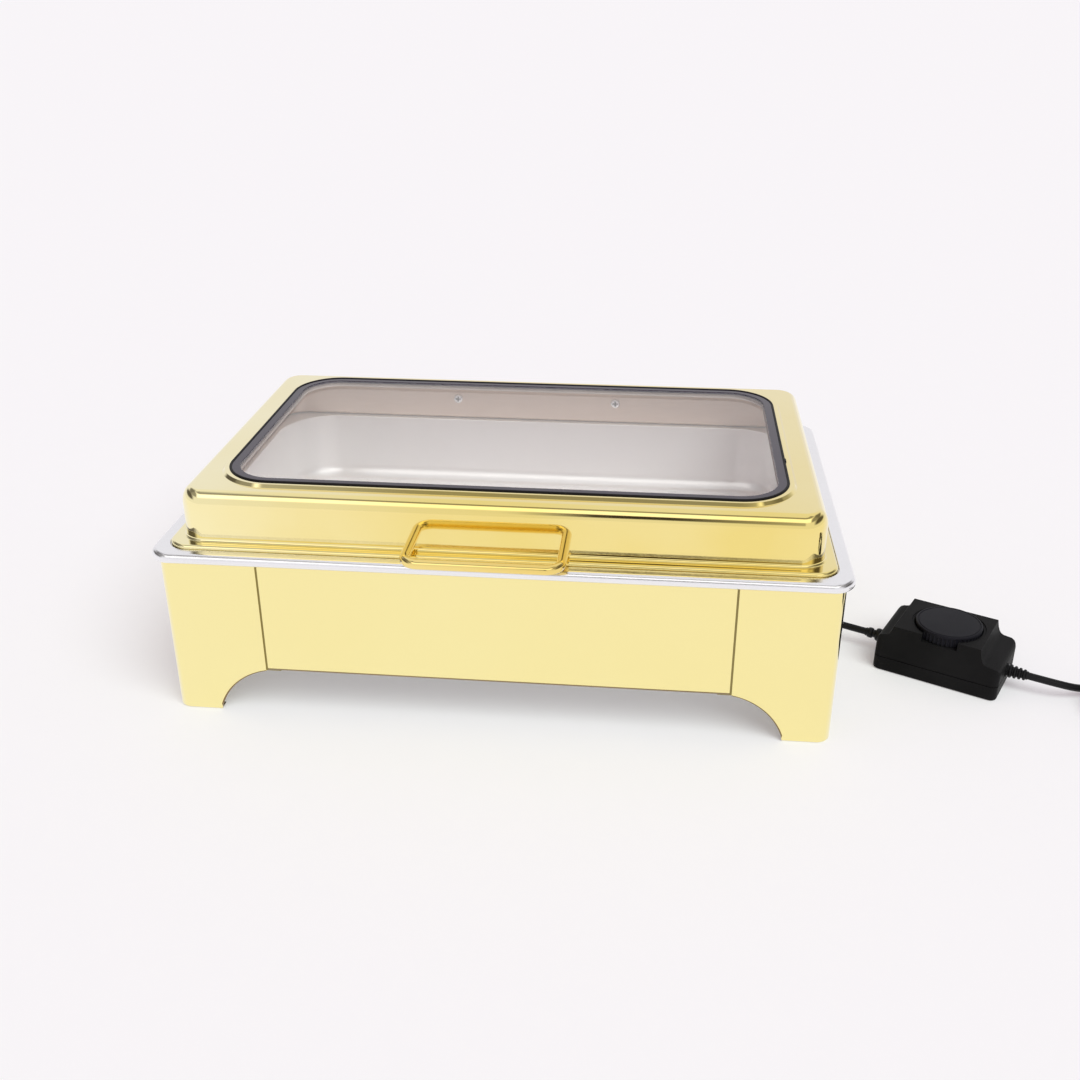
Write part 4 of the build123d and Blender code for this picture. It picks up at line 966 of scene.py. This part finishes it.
def turned(name, start, way, profile, sides=40):
    """Round piece drawn out along a direction through steps of distance and radius."""
    close_edit()
    facing = way.to_track_quat("Z", "Y").to_euler()
    first = profile[0]
    bpy.ops.mesh.primitive_circle_add(
        vertices=sides, radius=first[1] * MM, fill_type="NGON", location=start * MM, rotation=facing
    )
    piece = begin(name)
    for (place, radius), (next_place, next_radius) in zip(profile, profile[1:]):
        bpy.ops.mesh.extrude_region_move(TRANSFORM_OT_translate={"value": way * (next_place - place) * MM})
        share = next_radius / radius
        middle = (start + way * (next_place - first[0])) * MM
        bpy.ops.transform.resize(value=(share, share, share), center_override=middle)
    face_out(piece)
    return piece


BOOT_START = 53
BOOT_HEIGHT = 15.5
BOOT_FOOT = [(53, 6.2), (55, 6.2)]
BOOT_TIP = [(71.2, 3.9), (72, 3.45)]
BOOT_RIBS_START = 55.2
BOOT_RIBS_LONG = 15.4
BOOT_RIB = ((0.0, 1.3), (0.24, 1.3), (0.3, 0.5), (0.42, 0.05), (0.72, 0.05), (0.86, 0.5), (0.93, 1.3))


def cord_boot(name, side, ribs, node):
    """Tapered boot with rounded ribs at one end of the controller."""
    way = ALONG * side
    start = TABLE_PLACE / MM + way * BOOT_START + Vector((0, 0, BOOT_HEIGHT))
    profile = list(BOOT_FOOT)
    band = BOOT_RIBS_LONG / ribs
    for rib in range(ribs):
        full = 6.0 - 1.1 * rib / max(ribs - 1, 1)
        foot = BOOT_RIBS_START + rib * band
        for share, drop in BOOT_RIB:
            profile.append((foot + share * band, full - drop))
    boot = turned(name, start, way, profile + BOOT_TIP)
    smooth(boot, 50)
    return keep(boot, "base", CORD_SHEATH, "black_cord", node)


# Cords: each one smooth line through its route
CORD_RADIUS = 3.25


def cord_line(name, points):
    """Round cord along a smooth line whose control points are the route."""
    curve = bpy.data.curves.new(name, "CURVE")
    curve.dimensions = "3D"
    curve.bevel_depth = CORD_RADIUS * MM
    curve.bevel_resolution = 5
    curve.resolution_u = 8
    line = curve.splines.new("NURBS")
    line.points.add(len(points) - 1)
    for spot, point in zip(line.points, points):
        spot.co = (*(point * MM), 1)
    line.order_u = 3
    line.use_endpoint_u = True
    line.resolution_u = 8
    curve.use_fill_caps = True
    piece = bpy.data.objects.new(name, curve)
    bpy.context.scene.collection.objects.link(piece)
    return piece


LINK_END = Vector((322.565, -10.874, 15.5))
LINK_ROUTE = [
    Vector((238, -4, 31.7)),
    Vector((252, -4, 31.2)),
    Vector((272, -4, 24.0)),
    Vector((292, -1.5, 18.5)),
    LINK_END - ALONG * 18,
    LINK_END,
]
LEAD_START = Vector((451.435, -75.126, 15.5))
LEAD_BEND = LEAD_START + ALONG * 20
LEAD_ROUTE = [
    LEAD_START,
    LEAD_BEND,
    LEAD_BEND + Vector((22.7, 1, -5.5)),
    LEAD_BEND + Vector((38.7, 9, -9)),
    Vector((525.5, -68.5, 4.65)),
]
COIL_MIDDLE = Vector((545, -115, 0))
COIL_OUTER = 46.5
COIL_PITCH = 7.0
COIL_LOW = 4.65
COIL_HIGH = COIL_LOW + COIL_PITCH
HALF_TURN_POINTS = 8


def half_turn(centre, radius, first_angle, low, high):
    """Points of half a turn, set out a little so that the smooth line has the radius."""
    step = pi / HALF_TURN_POINTS
    reach = radius / (0.75 + 0.25 * cos(step))
    made = []
    for k in range(HALF_TURN_POINTS):
        share = (k + 0.5) / HALF_TURN_POINTS
        angle = first_angle - pi * share
        height = low + (high - low) * share
        made.append(centre + Vector((reach * cos(angle), reach * sin(angle), height)))
    return made


def coil_points():
    """Two layers of turns: in along the table, up at the middle, and out on top."""
    points = []
    radius = COIL_OUTER
    edge = COIL_OUTER
    angle = pi / 2
    heights = [(COIL_LOW, COIL_LOW)] * 6 + [(COIL_LOW, COIL_HIGH)] + [(COIL_HIGH, COIL_HIGH)] * 5
    growth = [-COIL_PITCH / 2] * 6 + [COIL_PITCH / 2] * 6
    side = 1
    for (low, high), change in zip(heights, growth):
        centre = COIL_MIDDLE + Vector((0, side * (edge - radius), 0))
        points += half_turn(centre, radius, angle, low, high)
        edge = 2 * radius - edge
        radius += change
        angle -= pi
        side = -side
    return points


TAIL_START = Vector((551.5, -68.5, 11.65))
TAIL_BEND = TAIL_START + Vector((29.5, 0, 0))
PLUG_MOUTH = Vector((607, -147.5, 13))
TAIL_ROUTE = [
    TAIL_BEND,
    TAIL_BEND + Vector((25, -23.5, -2.65)),
    PLUG_MOUTH + Vector((0, 19, 0)),
    PLUG_MOUTH,
]


# Plug on the end of the mains cord
PLUG_LOW = (592.5, -191.5, 0)
PLUG_HIGH = (621.5, -161.5, 26)
GRIP_FIRST = -171
GRIP_STEP = 4.2
PLUG_RIB = ((0.1, 0.0), (0.62, 0.0), (0.72, 0.9), (0.98, 0.9))
PLUG_RIB_LONG = 4.2
BLADE_LOW = (599.9, -207.5, 14.35)
BLADE_HIGH = (601.4, -185.5, 20.65)
BLADES_APART = 12.7
EARTH_MIDDLE = (607, -198, 5.6)


def plug():
    """Moulded plug: tapered ribbed boot, rounded body with finger grips and a flat face."""
    body = block("plug_mould", PLUG_LOW, PLUG_HIGH)
    round_edges(body, 5, 6, lambda e, a, b: abs(a.y - b.y) > 1)
    round_edges(body, 2.5, 4, lambda e, a, b: min(a.y, b.y) > PLUG_HIGH[1] - 0.1)
    round_edges(body, 0.8, 2, lambda e, a, b: max(a.y, b.y) < PLUG_LOW[1] + 0.1)
    for side in (PLUG_LOW[0], PLUG_HIGH[0]):
        for k in range(4):
            cut(body, drum("grip_groove", (side, GRIP_FIRST - GRIP_STEP * k, 13), 1.1, 14, "Z", 20))
    profile = [(0, 3.5), (0.4, 4.4)]
    for rib in range(3):
        full = 4.7 + 0.9 * rib
        for share, drop in PLUG_RIB:
            profile.append((0.5 + (rib + share) * PLUG_RIB_LONG, full - drop))
    profile += [(13.4, 7.4), (15, 7.6)]
    boot = turned("plug_boot", PLUG_MOUTH, Vector((0, -1, 0)), profile)
    merge(body, boot)
    smooth(body, 40)
    return keep(body, "base", CASE_PLASTIC, "black_plastic", "plug_body")


def plug_pins():
    """Two flat blades with rounded tips and a round earth pin."""
    pins = block("plug_contacts", BLADE_LOW, BLADE_HIGH)
    round_edges(pins, 0.6, 3, lambda e, a, b: a.y < -207.4 and b.y < -207.4)
    other = copy_by(pins, BLADES_APART, 0)
    earth = drum("plug_earth", EARTH_MIDDLE, 2.4, 25, "Y", 32)
    round_edges(earth, 1.8, 5, lambda e, a, b: a.y < -210.4 and b.y < -210.4)
    merge(pins, other, earth)
    smooth(pins, 40)
    return keep(pins, "base", PIN_BRASS, "pin_brass", "plug_pins")


# The pieces
lid_shell()
window_gasket()
water_pan()
food_pan()
end_frame("left_frame_sheet", -1, "left_end_frame")
end_frame("right_frame_sheet", 1, "right_end_frame")
long_panel("front_panel_sheet", -1, "front_panel")
long_panel("rear_panel_sheet", 1, "rear_panel")
lid_handle()
screw_pair("hinge_screw_heads", -80, 80, 154.5, 171, 1, 8.2, "hinge_leaf_screws")
screw_pair(
    "handle_screw_heads", HANDLE_LEFT, HANDLE_RIGHT, -154.5, HANDLE_HEIGHT, -1, 11, "handle_screws"
)
lower_case()
upper_case()
dial()
cord_boot("link_cord_boot", -1, 2, "link_relief")
mains_boot = cord_boot("mains_cord_boot", 1, 4, "mains_relief")
plug_body = plug()
plug_contacts = plug_pins()

link_cord = cord_line("link_flex", LINK_ROUTE)
keep(link_cord, "base", CORD_SHEATH, "black_cord", "link_cord")
mains_cord = cord_line("mains_flex", LEAD_ROUTE + coil_points() + TAIL_ROUTE)
keep(mains_cord, "base", CORD_SHEATH, "black_cord", "mains_cord", "mains_cord_coil", "mains_cord_tail")

# Finishes of the CAD nodes that show as they are
for finish, names in (
    (GLASS, "window_glass"),
    (HINGE_STEEL, "hinge_leaf_left hinge_leaf_right hinge_bracket_left hinge_bracket_right"),
    (BOLT_STEEL, "hinge_pins hinge_leaf_nuts hinge_bracket_screws hinge_bracket_nuts"),
    (BOLT_STEEL, "shield_nuts shield_spacers box_screws box_nuts"),
    (BOLT_STEEL, "controller_screws dial_spindle element_clips"),
    (PLATE_ALUMINIUM, "heater_plate"),
    (SHEET_STEEL, "heat_shield heating_element"),
    (INSULATOR, "thermal_cutout terminal_block"),
    (WIRE_SLEEVE, "supply_wires element_leads"),
    (CASE_PLASTIC, "terminal_box cable_gland dial_switch"),
    (BOARD, "circuit_board"),
    (TIE_STRAP, "cord_tie"),
):
    for name in names.split():
        nodes[name].data.materials.clear()
        nodes[name].data.materials.append(finish)


# Stage: pale floor, soft studio light
SEEN_WHITE = 0.24
MIRRORED_WHITE = 0.7


def floor():
    """Pale paper. What the camera and polished metal see of it is partly its own even white."""
    close_edit()
    bpy.ops.mesh.primitive_plane_add(size=60, location=(0, 0, -0.0002))
    ground = bpy.context.object
    ground.name = "floor"
    paper = Finish("floor_paper")
    grain = paper.noise(paper.place(), 40.0, 3.0)
    tone = paper.mix(grain, (0.915, 0.945, 0.940), (0.925, 0.955, 0.950))
    paper.set({"Base Color": tone, "Roughness": 0.8, "Specular IOR Level": 0.0})
    mirrored = paper.node("ShaderNodeLightPath", {}, [], "Is Glossy Ray")
    seen = paper.node("ShaderNodeLightPath", {}, [], "Is Camera Ray")
    seen = seen.most(paper.node("ShaderNodeLightPath", {}, [], "Is Transmission Ray"))
    even = paper.mix(mirrored, (1.0, 0.96, 0.975), (1.0, 0.99, 0.985))
    white = paper.node("ShaderNodeEmission", {}, [even, 1.0])
    share = (SEEN_WHITE * seen).most(MIRRORED_WHITE * mirrored)
    shown = paper.node("ShaderNodeMixShader", {}, [share, Value(paper, paper.shader.outputs[0]), white])
    paper.put(paper.tree.nodes["Material Output"].inputs["Surface"], shown)
    ground.data.materials.append(paper.material)


def soft_light(name, way, spread, strength, colour):
    """Even soft light from one direction, which polished metal doesn't mirror."""
    light = bpy.data.lights.new(name, "SUN")
    light.angle = radians(spread)
    light.energy = strength
    light.color = colour
    piece = bpy.data.objects.new(name, light)
    piece.rotation_euler = Vector(way).to_track_quat("Z", "Y").to_euler()
    piece.visible_glossy = False
    bpy.context.scene.collection.objects.link(piece)


BAR_SHADE = 0.68
SCREEN_SHADE = 0.97
FLAG_SHADE = 0.9
WING_SHADE = 0.8


def studio_sky():
    """White surround. Polished metal also mirrors a softbox and dark areas: a bar overhead, a screen in
    front, and a flag and a wing at each side."""
    world = bpy.data.worlds.new("studio")
    bpy.context.scene.world = world
    world.use_nodes = True
    sky = Graph(world.node_tree)
    way = sky.node("ShaderNodeTexCoord", {}, [], "Generated")
    axes = world.node_tree.nodes.new("ShaderNodeSeparateXYZ")
    sky.put(axes.inputs[0], way)
    east, north, up = (Value(sky, axes.outputs[k]) for k in range(3))
    aside = east.math("ABSOLUTE")
    bar = sky.ramp(up, 0.80, 0.84) * sky.ramp(up, 0.95, 0.92) * sky.ramp(north, 0.15, 0.05)
    screen = sky.ramp(north, 0.30, 0.15) * sky.ramp(east, -0.12, -0.05) * sky.ramp(east, 0.22, 0.02)
    screen = screen * sky.ramp(up, 0.20, 0.28) * sky.ramp(up, 0.54, 0.48)
    flags = sky.ramp(aside, 0.72, 0.86) * sky.ramp(up, 0.16, 0.26) * sky.ramp(up, 0.66, 0.58)
    wings = sky.ramp(aside, 0.48, 0.60) * sky.ramp(up, 0.45, 0.55) * sky.ramp(up, 0.85, 0.78)
    dark = (BAR_SHADE * bar).most(SCREEN_SHADE * screen).most(FLAG_SHADE * flags).most(WING_SHADE * wings)
    softbox = sky.ramp(up, 0.46, 0.58) * sky.ramp(north, 0.1, -0.1) * sky.ramp(up, 0.90, 0.84)
    bright = sky.mix(softbox, (0.885, 0.88, 0.89), (1.45, 1.43, 1.40))
    mirror_tone = sky.mix(dark, bright, (0.02, 0.012, 0.005))
    mirrored = sky.node("ShaderNodeLightPath", {}, [], "Is Glossy Ray")
    tone = sky.mix(mirrored, (0.50, 0.41, 0.46), mirror_tone)
    direct = sky.node("ShaderNodeLightPath", {}, [], "Is Camera Ray")
    direct = direct.most(sky.node("ShaderNodeLightPath", {}, [], "Is Transmission Ray"))
    tone = sky.mix(direct, tone, (0.945, 0.93, 0.95))
    background = world.node_tree.nodes["Background"]
    sky.put(background.inputs["Color"], tone)
    sky.put(background.inputs["Strength"], 1.0)


floor()
soft_light("front_softbox", (0.38, -0.50, 0.78), 45, 2.1, (0.97, 1.03, 1.0))
studio_sky()

bpy.context.scene.view_settings.view_transform = "Standard"
close_edit()
bpy.context.view_layer.update()
